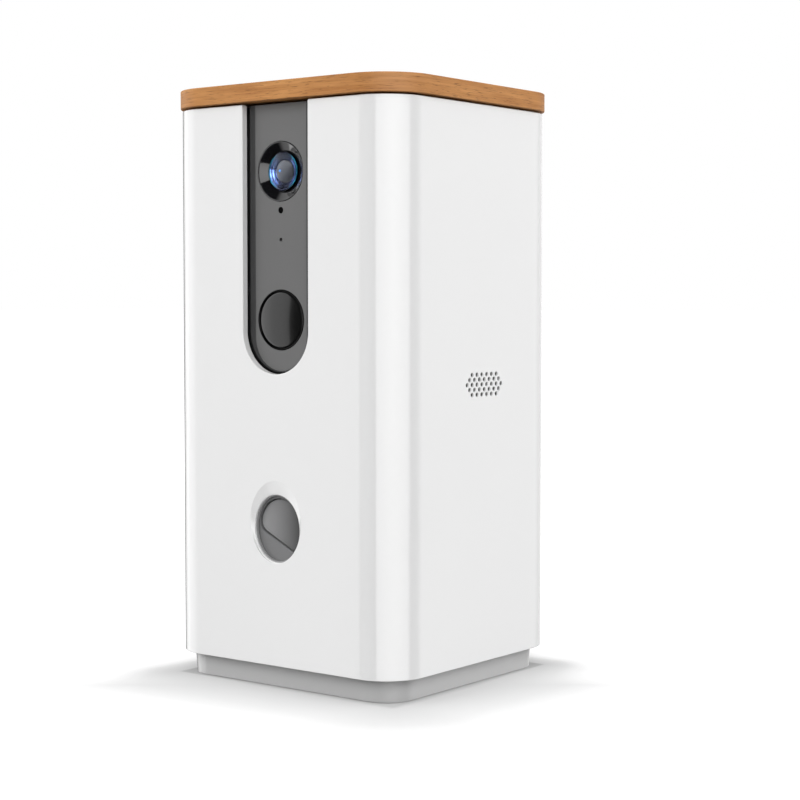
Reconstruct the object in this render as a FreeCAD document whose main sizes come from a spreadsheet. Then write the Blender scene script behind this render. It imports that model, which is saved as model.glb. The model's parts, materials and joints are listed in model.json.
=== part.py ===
"""Treat-tossing pet camera, built as a parametric document.

Frame: millimetres, +Z up, origin on the table under the middle of the body.
The front, with the camera strip and the treat outlet, faces -Y.
The speaker grille is on the +X side, and the power inlet is at the back.
"""
import FreeCAD, Part
import math
import os

import Sketcher
from FreeCAD import Placement, Rotation, Vector

DOC = FreeCAD.newDocument("treat_tossing_pet_camera")
SHEET = DOC.addObject("Spreadsheet::Sheet", "sizes")
NODES = []
ORIGIN = (-1, 1)
ALONG_X = Rotation(Vector(0, 1, 0), 90)
ALONG_Y = Rotation(Vector(1, 0, 0), -90)
ALONG_Z = Rotation()
AGAINST_X = Rotation(Vector(0, 1, 0), -90)
AGAINST_Y = Rotation(Vector(1, 0, 0), 90)
AGAINST_Z = Rotation(Vector(1, 0, 0), 180)

# Driving dimensions: alias, value in millimetres, degrees or pieces, meaning.
SIZES = (
    ("housing_width", 139, "outer housing across its sides"),
    ("housing_depth", 130.4, "outer housing, front to back"),
    ("housing_corner", 20, "radius of the upright corners"),
    ("housing_wall", 3.2, "wall of the outer housing"),
    ("housing_bottom", 11, "height of the housing's lower edge"),
    ("housing_top", 270.5, "height of the housing's upper edge"),
    ("housing_round", 0.4, "rounding of the housing's upper and lower outer edges"),
    ("housing_lip", 12, "width of the turned-in lower lip"),
    ("housing_lip_thickness", 2.6, "thickness of that lip"),
    ("slot_half", 19.8, "half width of the slot for the camera strip"),
    ("slot_drop", 5.1, "centre of the slot's round lower end, below the button's centre"),
    ("fit_gap", 0.3, "clearance between parts that are laid together"),
    ("running_gap", 0.05, "radial clearance of a shaft in its bearing"),
    ("outlet_drop", 38.2, "treat outlet's centre, below the toss arm's shaft"),
    ("outlet_width", 27.3, "treat outlet, across"),
    ("outlet_tall", 31.4, "treat outlet, upright"),
    ("flare_width", 31, "dish round the outlet, across"),
    ("flare_tall", 37.6, "dish round the outlet, upright"),
    ("flare_depth", 0.6, "depth of that dish"),
    ("grille_drop", 129, "speaker's middle, below the housing's upper edge"),
    ("grille_y", 2.9, "speaker's middle, behind the housing's middle"),
    ("grille_pitch", 3.9, "spacing of the grille's holes along a row"),
    ("grille_row", 2.32, "spacing of the grille's rows"),
    ("grille_hole", 1.95, "diameter of a grille hole"),
    ("plinth_inset", 5, "how far the plinth stands back from the housing"),
    ("plinth_bottom", 0.4, "height of the plinth's underside"),
    ("plinth_taper", 4, "draft of the plinth's sides in degrees"),
    ("plinth_wall", 3, "wall of the plinth"),
    ("foot_radius", 7, "radius of a rubber foot"),
    ("foot_height", 2.2, "height of a rubber foot"),
    ("foot_side", 23.5, "feet, in from the housing's sides"),
    ("foot_end", 23.2, "feet, in from the housing's front and back"),
    ("base_screw_side", 14.5, "base screws, in from the housing's sides"),
    ("base_screw_y", 20, "base screws, in front of and behind the middle"),
    ("base_screw_length", 15, "length of a base screw"),
    ("base_boss_height", 14, "height of the boss round a base screw"),
    ("lid_overhang", 2, "how far the lid stands out past the housing"),
    ("lid_corner", 24.4, "radius of the lid's upright corners"),
    ("lid_thickness", 8.6, "thickness of the bamboo"),
    ("lid_gap", 0.9, "shadow gap under the lid"),
    ("lid_round", 1.2, "rounding of the lid's upper and lower edges"),
    ("bin_side", 12.5, "treat bin's sides, in from the housing's"),
    ("bin_front_room", 28.2, "treat bin's front, behind the housing's"),
    ("bin_back_room", 8.2, "treat bin's back, in from the housing's"),
    ("bin_corner", 12, "radius of the bin's upright corners"),
    ("bin_wall", 2, "wall of the treat bin"),
    ("funnel_slope", 36, "slope of the bin's funnel in degrees"),
    ("rim_drop", 4, "bin's rim, on which the lid rests, below the housing's upper edge"),
    ("rim_thickness", 2.2, "thickness of the bin's rim"),
    ("plug_depth", 9, "how far the lid's plug reaches into the bin"),
    ("plug_wall", 2.4, "wall of the lid's plug"),
    ("plug_gap", 1.6, "room between the plug and the bin's wall"),
    ("throat_radius", 17, "inner radius of the bin's throat"),
    ("throat_offset", 19, "throat, behind the feed wheel's axis"),
    ("cover_thickness", 2.2, "thickness of the feed cover"),
    ("deck_drop", 15.2, "mechanism deck's upper face, below the slot's lower end"),
    ("deck_thickness", 3.4, "thickness of the mechanism deck"),
    ("deck_border", 5.575, "mechanism deck beside the wall round the feed wheel"),
    ("deck_gap", 1, "clearance between the deck and the housing's front wall"),
    ("deck_back_room", 15.2, "mechanism deck's back edge, in from the housing's"),
    ("wheel_offset", 18, "feed wheel's axis, behind the toss arm's shaft"),
    ("wheel_radius", 37.8, "radius of the feed wheel's body"),
    ("wheel_height", 9.2, "height of the feed wheel"),
    ("pocket_orbit", 29.2, "radius of the circle of treat pockets"),
    ("pocket_radius", 7.6, "radius of a treat pocket"),
    ("pocket_count", 6, "treat pockets in the feed wheel"),
    ("axle_radius", 4, "radius of the feed wheel's axle"),
    ("feed_module", 1.5, "module of the feed gears"),
    ("feed_wheel_teeth", 54, "teeth round the feed wheel"),
    ("feed_pinion_teeth", 12, "teeth of the feed pinion"),
    ("feed_gear_height", 5, "height of the feed gears"),
    ("gear_play", 0.16, "play of a tooth at the pitch circle"),
    ("gear_addendum", 0.75, "height of a tooth over the pitch circle, in modules"),
    ("gear_dedendum", 1.05, "depth of a tooth under the pitch circle, in modules"),
    ("pressure_angle", 20, "pressure angle of the gears in degrees"),
    ("skirt_wall", 2, "wall round the feed wheel"),
    ("post_radius", 4, "radius of a deck post"),
    ("post_side", 6, "deck posts, in from the deck's sides"),
    ("post_end", 8, "deck posts, in from the deck's back edge"),
    ("chute_radius", 9, "inner radius of the drop chute"),
    ("chute_wall", 1.5, "wall of the drop chute"),
    ("chute_length", 8, "length of the drop chute under the deck"),
    ("pivot_offset", 27.9, "toss arm's shaft, behind the chamber's front face"),
    ("pivot_drop", 18, "toss arm's shaft, below the deck's upper face"),
    ("arm_shaft_radius", 2.5, "radius of the toss arm's shaft"),
    ("chamber_half", 13.2, "inner half width of the launch chamber"),
    ("chamber_wall", 2, "wall of the launch chamber"),
    ("chamber_gap", 0.1, "clearance between the chamber and the housing's front wall"),
    ("chamber_front_wall", 2.4, "thickness of the chamber's front wall"),
    ("chamber_reach", 42, "angle of the trough behind the shaft in degrees"),
    ("toss_travel", 60, "swing of the toss arm in degrees"),
    ("paddle_half", 11.8, "half width of the paddle"),
    ("paddle_rise", 13.4, "paddle's rounded top, above the outlet's centre"),
    ("paddle_left_drop", 0.2, "paddle's lower edge at its left side, below the outlet's centre"),
    ("paddle_right_drop", 12.1, "paddle's lower edge at its right side, below the outlet's centre"),
    ("paddle_corner", 5, "radius of the paddle's lower left corner"),
    ("paddle_set", 0.9, "paddle's front face, behind the chamber's"),
    ("paddle_thickness", 2.4, "thickness of the paddle"),
    ("arm_half", 4, "half thickness of the toss arm"),
    ("arm_hub_radius", 5.5, "radius of the toss arm's hub"),
    ("paddle_gap", 0.55, "gap all round the paddle"),
    ("toss_module", 1.5, "module of the toss gears"),
    ("sector_teeth", 30, "teeth of a full circle of the sector gear"),
    ("sector_kept", 9, "teeth kept on the sector gear"),
    ("toss_pinion_teeth", 12, "teeth of the toss pinion"),
    ("toss_gear_width", 4, "width of the toss gears"),
    ("sector_x", 17.2, "inner face of the toss gears, right of the middle"),
    ("motor_radius", 12, "radius of a gear motor"),
    ("motor_length", 26, "length of a gear motor"),
    ("motor_shaft_radius", 1.5, "radius of a motor's shaft"),
    ("mount_front", 16, "toss motor's mount, in front of the motor's axis"),
    ("mount_back", 17, "toss motor's mount, behind and below the motor's axis"),
    ("mount_above", 13, "toss motor's mount, above the motor's axis"),
    ("spring_wire", 0.55, "radius of the torsion spring's wire"),
    ("spring_radius", 5.2, "radius of the torsion spring's coil"),
    ("spring_turns", 4, "turns of the torsion spring"),
    ("spring_pitch", 1.5, "spacing of its turns"),
    ("face_border", 3.4, "frame that shows beside the strip's face panel"),
    ("face_drop", 2.8, "centre of the face's round lower end, below the slot's"),
    ("face_depth", 4.3, "how far the face lies behind the housing's front"),
    ("face_thickness", 1.8, "thickness of the face panel"),
    ("frame_gap", 0.9, "gap between the slot and the dark frame round the face"),
    ("flange_border", 9.8, "carrier's flange beside the slot"),
    ("carrier_screw_side", 6, "carrier's screws beside the slot"),
    ("carrier_screw_low", 19, "lower carrier screws, above the centre of the slot's round"),
    ("carrier_screw_high", 15.2, "upper carrier screws, below the carrier's upper edge"),
    ("carrier_step", 3.4, "height of the frame over the carrier's flange"),
    ("carrier_thickness", 2.6, "thickness of the carrier's flange"),
    ("lens_drop", 31.2, "camera's axis, below the housing's upper edge"),
    ("bezel_radius", 13.9, "outer radius of the lens bezel"),
    ("bezel_mouth", 9, "inner radius of the lens bezel"),
    ("bezel_dish", 1.3, "depth of the bezel's conical dish"),
    ("lens_radius", 8.7, "radius of the front lens"),
    ("lens_crown", 2, "height of the front lens's crown"),
    ("barrel_radius", 6, "radius of the lens barrel"),
    ("light_drop", 17.8, "light sensor, below the camera's axis"),
    ("light_radius", 1.54, "radius of the light sensor's window"),
    ("voice_drop", 31.3, "microphone's hole, below the camera's axis"),
    ("voice_radius", 0.87, "radius of the microphone's hole"),
    ("button_drop", 68.2, "button's centre, below the camera's axis"),
    ("button_radius", 12.8, "radius of the button's cap"),
    ("button_ring_radius", 14, "outer radius of the ring round the button"),
    ("button_travel", 0.8, "travel of the button"),
    ("board_thickness", 1.6, "thickness of a circuit board"),
    ("camera_board_width", 32, "camera board, across"),
    ("camera_board_tall", 30, "camera board, upright"),
    ("button_board_width", 32, "button board, across"),
    ("button_board_tall", 28, "button board, upright"),
    ("speaker_radius", 18, "radius of the speaker"),
    ("speaker_depth", 12, "speaker, from its rim to the back of its magnet"),
    ("speaker_basket", 7, "speaker, from its rim to the back of its basket"),
    ("speaker_ear", 5, "screws of the speaker's clamp, outside the speaker"),
    ("main_board_width", 84, "main board, across"),
    ("radio_side", 12, "radio module's right side, in from the main board's"),
    ("radio_width", 18, "radio module, across"),
    ("radio_tall", 24, "radio module, upright"),
    ("radio_drop", 16, "radio module's upper edge, below the main board's"),
    ("main_board_bottom", 17, "height of the main board's lower edge"),
    ("main_board_top", 100, "height of the main board's upper edge"),
    ("inlet_height", 26, "height of the power inlet"),
    ("inlet_width", 9, "width of the power inlet's shell"),
    ("inlet_tall", 3.3, "height of the power inlet's shell"),
    ("screw_radius", 1.5, "radius of a screw's thread"),
    ("screw_head_radius", 2.8, "radius of a screw's head"),
)


class Size:
    """A number that remembers the sheet expression it comes from."""

    def __init__(self, number, text):
        self.number = float(number)
        self.text = text

    def __add__(self, other):
        other = as_size(other)
        return Size(self.number + other.number, f"({self.text} + {other.text})")

    def __radd__(self, other):
        return as_size(other) + self

    def __sub__(self, other):
        other = as_size(other)
        return Size(self.number - other.number, f"({self.text} - {other.text})")

    def __rsub__(self, other):
        return as_size(other) - self

    def __mul__(self, other):
        other = as_size(other)
        return Size(self.number * other.number, f"({self.text} * {other.text})")

    def __rmul__(self, other):
        return as_size(other) * self

    def __truediv__(self, other):
        other = as_size(other)
        return Size(self.number / other.number, f"({self.text} / {other.text})")

    def __neg__(self):
        return Size(-self.number, f"(0 - {self.text})")


def as_size(value):
    """Return a Size, also for a plain number."""
    return value if isinstance(value, Size) else Size(value, repr(float(value)))


def root(size):
    """Square root of a Size."""
    return Size(math.sqrt(size.number), f"sqrt({size.text})")


def sine(size):
    """Sine of an angle in degrees."""
    return Size(math.sin(math.radians(size.number)), f"sin({size.text})")


def cosine(size):
    """Cosine of an angle in degrees."""
    return Size(math.cos(math.radians(size.number)), f"cos({size.text})")


def fill_sheet():
    """Write the driving dimensions as plain numbers with aliases."""
    for row, (alias, number, meaning) in enumerate(SIZES, start=1):
        SHEET.set(f"A{row}", alias)
        SHEET.set(f"B{row}", str(number))
        SHEET.setAlias(f"B{row}", alias)
        SHEET.set(f"C{row}", meaning)
    DOC.recompute()


class Sheet:
    """Gives each driving dimension as a Size under its alias."""

    def __getattr__(self, alias):
        return Size(getattr(SHEET, alias), f"sizes.{alias}")


S = Sheet()


def bind(target, path, size):
    """Bind a property of a document object to a Size."""
    target.setExpression(path, as_size(size).text)


def place(target, at, turn=ALONG_Z):
    """Put a primitive at a point given as three Sizes."""
    target.Placement = Placement(Vector(), turn)
    for letter, size in zip("xyz", at):
        bind(target, f"Placement.Base.{letter}", size)


def node(target, label):
    """Name a finished sub-part, and list it for export."""
    target.Label = label
    NODES.append(target)
    return target


# ---- sketches and features of a body ---------------------------------------


def new_body(label, at=None):
    """Start a PartDesign body."""
    body = DOC.addObject("PartDesign::Body", label + "_body")
    if at is not None:
        place(body, at)
    return body


def new_sketch(body, role, offset=0):
    """Attach a sketch to an origin plane of its body, offset along the plane's normal."""
    plane = next(item for item in body.Origin.OriginFeatures if item.Role == role)
    sketch = body.newObject("Sketcher::SketchObject", body.Name + "_sketch")
    sketch.AttachmentSupport = [(plane, "")]
    sketch.MapMode = "FlatFace"
    bind(sketch, "AttachmentOffset.Base.z", offset)
    return sketch


def level_sketch(body, height):
    """Sketch on a level plane: its axes are X and Y."""
    return new_sketch(body, "XY_Plane", height)


def front_sketch(body, y):
    """Sketch on an upright plane that faces -Y: its axes are X and Z."""
    return new_sketch(body, "XZ_Plane", -as_size(y))


def side_sketch(body, x):
    """Sketch on an upright plane that faces +X: its axes are Y and Z."""
    return new_sketch(body, "YZ_Plane", x)


def fix_point(sketch, geometry, point, across, up):
    """Hold a point of a sketch at two Sizes."""
    for kind, size in (("DistanceX", across), ("DistanceY", up)):
        size = as_size(size)
        index = sketch.addConstraint(
            Sketcher.Constraint(kind, *ORIGIN, geometry, point, size.number))
        sketch.setExpression(f"Constraints[{index}]", size.text)


def draw_circle(sketch, across, up, radius):
    """Add a circle."""
    across, up, radius = as_size(across), as_size(up), as_size(radius)
    centre = Vector(across.number, up.number, 0)
    circle = sketch.addGeometry(Part.Circle(centre, Vector(0, 0, 1), radius.number))
    fix_point(sketch, circle, 3, across, up)
    index = sketch.addConstraint(Sketcher.Constraint("Radius", circle, radius.number))
    sketch.setExpression(f"Constraints[{index}]", radius.text)


def draw_polygon(sketch, points):
    """Add a closed outline of straight lines through points given as Sizes."""
    points = [(as_size(across), as_size(up)) for across, up in points]
    corners = [Vector(across.number, up.number, 0) for across, up in points]
    lines = []
    for start, end in zip(corners, corners[1:] + corners[:1]):
        lines.append(sketch.addGeometry(Part.LineSegment(start, end)))
    for line, following in zip(lines, lines[1:] + lines[:1]):
        sketch.addConstraint(Sketcher.Constraint("Coincident", line, 2, following, 1))
    for line, (across, up) in zip(lines, points):
        fix_point(sketch, line, 1, across, up)


def draw_box(sketch, left, low, right, high):
    """Add a rectangle."""
    draw_polygon(sketch, [(left, low), (right, low), (right, high), (left, high)])


def draw_rounded_box(sketch, left, low, right, high, radius):
    """Add a rectangle with round corners."""
    left, low, right, high = (as_size(edge) for edge in (left, low, right, high))
    radius = as_size(radius)
    x0, y0, x1, y1, r = (size.number for size in (left, low, right, high, radius))
    flat = Vector(0, 0, 1)
    quarter = math.pi / 2
    centres = ((x1 - r, y0 + r), (x1 - r, y1 - r), (x0 + r, y1 - r), (x0 + r, y0 + r))
    lines = (((x0 + r, y0), (x1 - r, y0)), ((x1, y0 + r), (x1, y1 - r)),
             ((x1 - r, y1), (x0 + r, y1)), ((x0, y1 - r), (x0, y0 + r)))
    sides = []
    corners = []
    for number, (line, centre) in enumerate(zip(lines, centres)):
        start, end = (Vector(*point, 0) for point in line)
        sides.append(sketch.addGeometry(Part.LineSegment(start, end)))
        circle = Part.Circle(Vector(*centre, 0), flat, r)
        turn = (number - 1) * quarter
        corners.append(sketch.addGeometry(Part.ArcOfCircle(circle, turn, turn + quarter)))
    for number in range(4):
        following = sides[(number + 1) % 4]
        sketch.addConstraint(
            Sketcher.Constraint("Tangent", sides[number], 2, corners[number], 1))
        sketch.addConstraint(Sketcher.Constraint("Tangent", corners[number], 2, following, 1))
    for number, kind in enumerate(("Horizontal", "Vertical", "Horizontal", "Vertical")):
        sketch.addConstraint(Sketcher.Constraint(kind, sides[number]))
    for corner in corners[1:]:
        sketch.addConstraint(Sketcher.Constraint("Equal", corners[0], corner))
    bound = (("Radius", (corners[0],), radius), ("DistanceY", (*ORIGIN, sides[0], 1), low),
             ("DistanceX", (*ORIGIN, sides[1], 1), right),
             ("DistanceY", (*ORIGIN, sides[2], 1), high),
             ("DistanceX", (*ORIGIN, sides[3], 1), left))
    for kind, where, size in bound:
        index = sketch.addConstraint(Sketcher.Constraint(kind, *where, size.number))
        sketch.setExpression(f"Constraints[{index}]", size.text)


def draw_arch(sketch, half, centre, top):
    """Add an upright strip with a half-round lower end and a square upper end."""
    half, centre, top = as_size(half), as_size(centre), as_size(top)
    r, c, t = half.number, centre.number, top.number
    flat = Vector(0, 0, 1)
    left = sketch.addGeometry(Part.LineSegment(Vector(-r, t, 0), Vector(-r, c, 0)))
    circle = Part.Circle(Vector(0, c, 0), flat, r)
    bow = sketch.addGeometry(Part.ArcOfCircle(circle, math.pi, 2 * math.pi))
    right = sketch.addGeometry(Part.LineSegment(Vector(r, c, 0), Vector(r, t, 0)))
    lid = sketch.addGeometry(Part.LineSegment(Vector(r, t, 0), Vector(-r, t, 0)))
    sketch.addConstraint(Sketcher.Constraint("Tangent", left, 2, bow, 1))
    sketch.addConstraint(Sketcher.Constraint("Tangent", bow, 2, right, 1))
    sketch.addConstraint(Sketcher.Constraint("Coincident", right, 2, lid, 1))
    sketch.addConstraint(Sketcher.Constraint("Coincident", lid, 2, left, 1))
    sketch.addConstraint(Sketcher.Constraint("Vertical", left))
    sketch.addConstraint(Sketcher.Constraint("Vertical", right))
    sketch.addConstraint(Sketcher.Constraint("Horizontal", lid))
    fix_point(sketch, bow, 3, 0, centre)
    for kind, where, size in (("Radius", (bow,), half),
                              ("DistanceY", (*ORIGIN, lid, 1), top)):
        index = sketch.addConstraint(Sketcher.Constraint(kind, *where, size.number))
        sketch.setExpression(f"Constraints[{index}]", size.text)


def draw_dome(sketch, half, left, right, centre):
    """Add an outline with a half-round top and a slanting lower edge."""
    half, left, right, centre = (as_size(size) for size in (half, left, right, centre))
    h, low, high, c = (size.number for size in (half, left, right, centre))
    bow = sketch.addGeometry(Part.ArcOfCircle(
        Part.Circle(Vector(0, c, 0), Vector(0, 0, 1), h), 0, math.pi))
    first = sketch.addGeometry(Part.LineSegment(Vector(-h, c, 0), Vector(-h, low, 0)))
    slant = sketch.addGeometry(Part.LineSegment(Vector(-h, low, 0), Vector(h, high, 0)))
    last = sketch.addGeometry(Part.LineSegment(Vector(h, high, 0), Vector(h, c, 0)))
    sketch.addConstraint(Sketcher.Constraint("Tangent", bow, 2, first, 1))
    sketch.addConstraint(Sketcher.Constraint("Coincident", first, 2, slant, 1))
    sketch.addConstraint(Sketcher.Constraint("Coincident", slant, 2, last, 1))
    sketch.addConstraint(Sketcher.Constraint("Tangent", last, 2, bow, 1))
    sketch.addConstraint(Sketcher.Constraint("Vertical", first))
    sketch.addConstraint(Sketcher.Constraint("Vertical", last))
    fix_point(sketch, bow, 3, 0, centre)
    for kind, where, size in (("Radius", (bow,), half),
                              ("DistanceY", (*ORIGIN, slant, 1), left),
                              ("DistanceY", (*ORIGIN, slant, 2), right)):
        index = sketch.addConstraint(Sketcher.Constraint(kind, *where, size.number))
        sketch.setExpression(f"Constraints[{index}]", size.text)


def draw_oval(sketch, up, width, tall):
    """Add an upright ellipse centred over the origin."""
    up, across, along = as_size(up), width / 2, tall / 2
    centre = Vector(0, up.number, 0)
    top = Vector(0, up.number + along.number, 0)
    side = Vector(-across.number, up.number, 0)
    ellipse = sketch.addGeometry(Part.Ellipse(top, side, centre))
    sketch.exposeInternalGeometry(ellipse)
    major, minor = ellipse + 1, ellipse + 2
    fix_point(sketch, ellipse, 3, 0, up)
    sketch.addConstraint(Sketcher.Constraint("Vertical", major))
    for line, size in ((major, tall), (minor, width)):
        index = sketch.addConstraint(Sketcher.Constraint("Distance", line, size.number))
        sketch.setExpression(f"Constraints[{index}]", size.text)


def pad(body, sketch, length, back=False, taper=None):
    """Add material along the sketch's normal, or against it."""
    feature = body.newObject("PartDesign::Pad", body.Name + "_pad")
    feature.Profile = sketch
    feature.Reversed = back
    bind(feature, "Length", length)
    if taper is not None:
        bind(feature, "TaperAngle", taper)
    DOC.recompute()
    return feature


def cut_check(body, before):
    """Stop if a cut took nothing away."""
    DOC.recompute()
    if before - body.Shape.Volume < 1e-6:
        raise RuntimeError(f"a cut in {body.Name} removes nothing")


def pocket(body, sketch, depth, forward=False):
    """Cut against the sketch's normal, or along it."""
    before = body.Shape.Volume
    feature = body.newObject("PartDesign::Pocket", body.Name + "_pocket")
    feature.Profile = sketch
    feature.Reversed = forward
    bind(feature, "Length", depth)
    cut_check(body, before)
    return feature


def revolve(body, sketch, axis="V_Axis"):
    """Turn a sketch all the way round one of its axes."""
    feature = body.newObject("PartDesign::Revolution", body.Name + "_turn")
    feature.Profile = sketch
    feature.ReferenceAxis = (sketch, [axis])
    feature.Angle = 360
    DOC.recompute()
    return feature


def groove(body, sketch, axis="V_Axis"):
    """Cut by turning a sketch all the way round one of its axes."""
    before = body.Shape.Volume
    feature = body.newObject("PartDesign::Groove", body.Name + "_groove")
    feature.Profile = sketch
    feature.ReferenceAxis = (sketch, [axis])
    feature.Angle = 360
    cut_check(body, before)
    return feature


def round_edges(body, feature, radius, wanted):
    """Fillet the edges of the last feature that a test picks."""
    names = [f"Edge{number}" for number, edge in enumerate(feature.Shape.Edges, start=1)
             if wanted(edge)]
    fillet = body.newObject("PartDesign::Fillet", body.Name + "_fillet")
    fillet.Base = (feature, names)
    bind(fillet, "Radius", radius)
    DOC.recompute()
    return fillet


# ---- primitives and booleans ------------------------------------------------


def cylinder(label, radius, length, at, turn=ALONG_Z):
    """A Part cylinder that starts at a point and runs along an axis."""
    target = DOC.addObject("Part::Cylinder", label)
    place(target, at, turn)
    bind(target, "Radius", radius)
    bind(target, "Height", length)
    return target


def box(label, low, high):
    """A Part box between two corners given as Sizes."""
    target = DOC.addObject("Part::Box", label)
    place(target, low)
    for name, start, end in zip(("Length", "Width", "Height"), low, high):
        bind(target, name, as_size(end) - start)
    return target


def fuse(label, *pieces):
    """Join overlapping or touching pieces."""
    target = DOC.addObject("Part::MultiFuse", label)
    target.Shapes = list(pieces)
    target.Refine = True
    return target


def cut(label, base, *tools):
    """Take pieces away from a base."""
    target = DOC.addObject("Part::Cut", label)
    target.Base = base
    target.Tool = tools[0] if len(tools) == 1 else fuse(label + "_tools", *tools)
    target.Refine = True
    return target


def group(label, *pieces):
    """Keep like pieces together as separate solids of one node."""
    target = DOC.addObject("Part::Compound", label)
    target.Links = list(pieces)
    return target


def screw(label, at, length, turn):
    """A screw with its head's outer face at a point and its thread along an axis."""
    head = cylinder(label + "_head", S.screw_head_radius, 1.8, at, turn)
    thread = cylinder(label + "_thread", S.screw_radius, length, at, turn)
    socket = DOC.addObject("Part::Prism", label + "_socket")
    socket.Polygon = 6
    bind(socket, "Circumradius", S.screw_head_radius / 2)
    socket.Height = 1
    place(socket, at, turn)
    return cut(label, fuse(label + "_solid", head, thread), socket)


# ---- places that several sub-parts share -------------------------------------

fill_sheet()

HALF_X = S.housing_width / 2
HALF_Y = S.housing_depth / 2
INNER_X = HALF_X - S.housing_wall
INNER_Y = HALF_Y - S.housing_wall
LIP_TOP = S.housing_bottom + S.housing_lip_thickness
PLINTH_FLOOR = S.plinth_bottom + S.plinth_wall
FOOT_X = HALF_X - S.foot_side
FOOT_Y = HALF_Y - S.foot_end
BASE_SCREW_X = HALF_X - S.base_screw_side
LID_BOTTOM = S.housing_top + S.lid_gap
RIM_TOP = S.housing_top - S.rim_drop
BIN_HALF = HALF_X - S.bin_side
BIN_FRONT = S.bin_front_room - HALF_Y
BIN_BACK = HALF_Y - S.bin_back_room
LENS_Z = S.housing_top - S.lens_drop
LIGHT_Z = LENS_Z - S.light_drop
VOICE_Z = LENS_Z - S.voice_drop
BUTTON_Z = LENS_Z - S.button_drop
SLOT_CENTRE = BUTTON_Z - S.slot_drop
FRAME_HALF = S.slot_half - S.frame_gap
FACE_HALF = FRAME_HALF - S.face_border
FACE_CENTRE = SLOT_CENTRE - S.face_drop
FACE_Y = S.face_depth - HALF_Y
FACE_BACK = FACE_Y + S.face_thickness
FLANGE_Y = FACE_Y + S.carrier_step
CARRIER_HALF = S.slot_half + S.flange_border
CARRIER_BACK = FLANGE_Y + S.carrier_thickness
CARRIER_TOP = S.housing_top - S.fit_gap
SENSOR_BACK = FACE_Y + 5.4
CAMERA_BOARD_Y = CARRIER_BACK + 9
BUTTON_BOARD_Y = CARRIER_BACK + 6
DECK_LEVEL = SLOT_CENTRE - S.slot_half - S.deck_drop
DECK_UNDER = DECK_LEVEL - S.deck_thickness
DECK_FRONT = S.deck_gap - INNER_Y
DECK_BACK = HALF_Y - S.deck_back_room
POST_Y = DECK_BACK - S.post_end
CHUTE_BOTTOM = DECK_UNDER - S.chute_length
CHAMBER_FRONT = S.chamber_gap - INNER_Y
PADDLE_FRONT = CHAMBER_FRONT + S.paddle_set
PIVOT_Y = CHAMBER_FRONT + S.pivot_offset
PIVOT_Z = DECK_LEVEL - S.pivot_drop
OUTLET_Z = PIVOT_Z - S.outlet_drop
PADDLE_TOP = OUTLET_Z + S.paddle_rise
PADDLE_LEFT = OUTLET_Z - S.paddle_left_drop
PADDLE_RIGHT = OUTLET_Z - S.paddle_right_drop
WHEEL_Y = PIVOT_Y + S.wheel_offset
WHEEL_BOTTOM = DECK_LEVEL + S.fit_gap
THROAT_Y = WHEEL_Y + S.throat_offset
COVER_UNDER = WHEEL_BOTTOM + S.wheel_height + S.fit_gap
COVER_TOP = COVER_UNDER + S.cover_thickness
FEED_PITCH = S.feed_module * S.feed_wheel_teeth / 2
FEED_SPACING = FEED_PITCH + S.feed_module * S.feed_pinion_teeth / 2
FEED_MOTOR_Y = WHEEL_Y + FEED_SPACING
SKIRT_INNER = FEED_PITCH + S.feed_module * S.gear_addendum + 0.8
PINION_ROOM = S.feed_module * (S.feed_pinion_teeth / 2 + S.gear_addendum) + 0.8
DECK_HALF = SKIRT_INNER + S.skirt_wall + S.deck_border
POST_X = DECK_HALF - S.post_side
DROP_Y = WHEEL_Y - S.pocket_orbit
PINION_ANGLE = 60
TOSS_SPACING = S.toss_module * (S.sector_teeth + S.toss_pinion_teeth) / 2
TOSS_MOTOR_Y = PIVOT_Y + TOSS_SPACING * 0.5
TOSS_MOTOR_Z = PIVOT_Z - TOSS_SPACING * root(as_size(0.75))
TOSS_MOUNT_X = S.sector_x + S.toss_gear_width + 1
SPEAKER_Z = S.housing_top - S.grille_drop
SPEAKER_BACK = INNER_X - 2.7
BOARD_BACK = INNER_Y - 4.6


def rounded_plan(sketch, inset, corner=None):
    """Draw the housing's plan, set in by a distance all round."""
    inset = as_size(inset)
    if corner is None:
        corner = S.housing_corner - inset
    draw_rounded_box(sketch, -(HALF_X - inset), -(HALF_Y - inset),
                     HALF_X - inset, HALF_Y - inset, corner)


def four_corners(across, along):
    """The four places left and right of the middle, and before and behind it."""
    return [(across * side, along * end) for side in (-1, 1) for end in (-1, 1)]


# ---- housing, plinth and feet --------------------------------------------------


def grille_holes():
    """Centres of the speaker grille: rows of 6, 7, 8, 7 and 6 holes."""
    for row, count in enumerate((6, 7, 8, 7, 6), start=-2):
        for number in range(count):
            along = S.grille_y + S.grille_pitch * (number - (count - 1) / 2)
            yield along, SPEAKER_Z + S.grille_row * row


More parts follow.
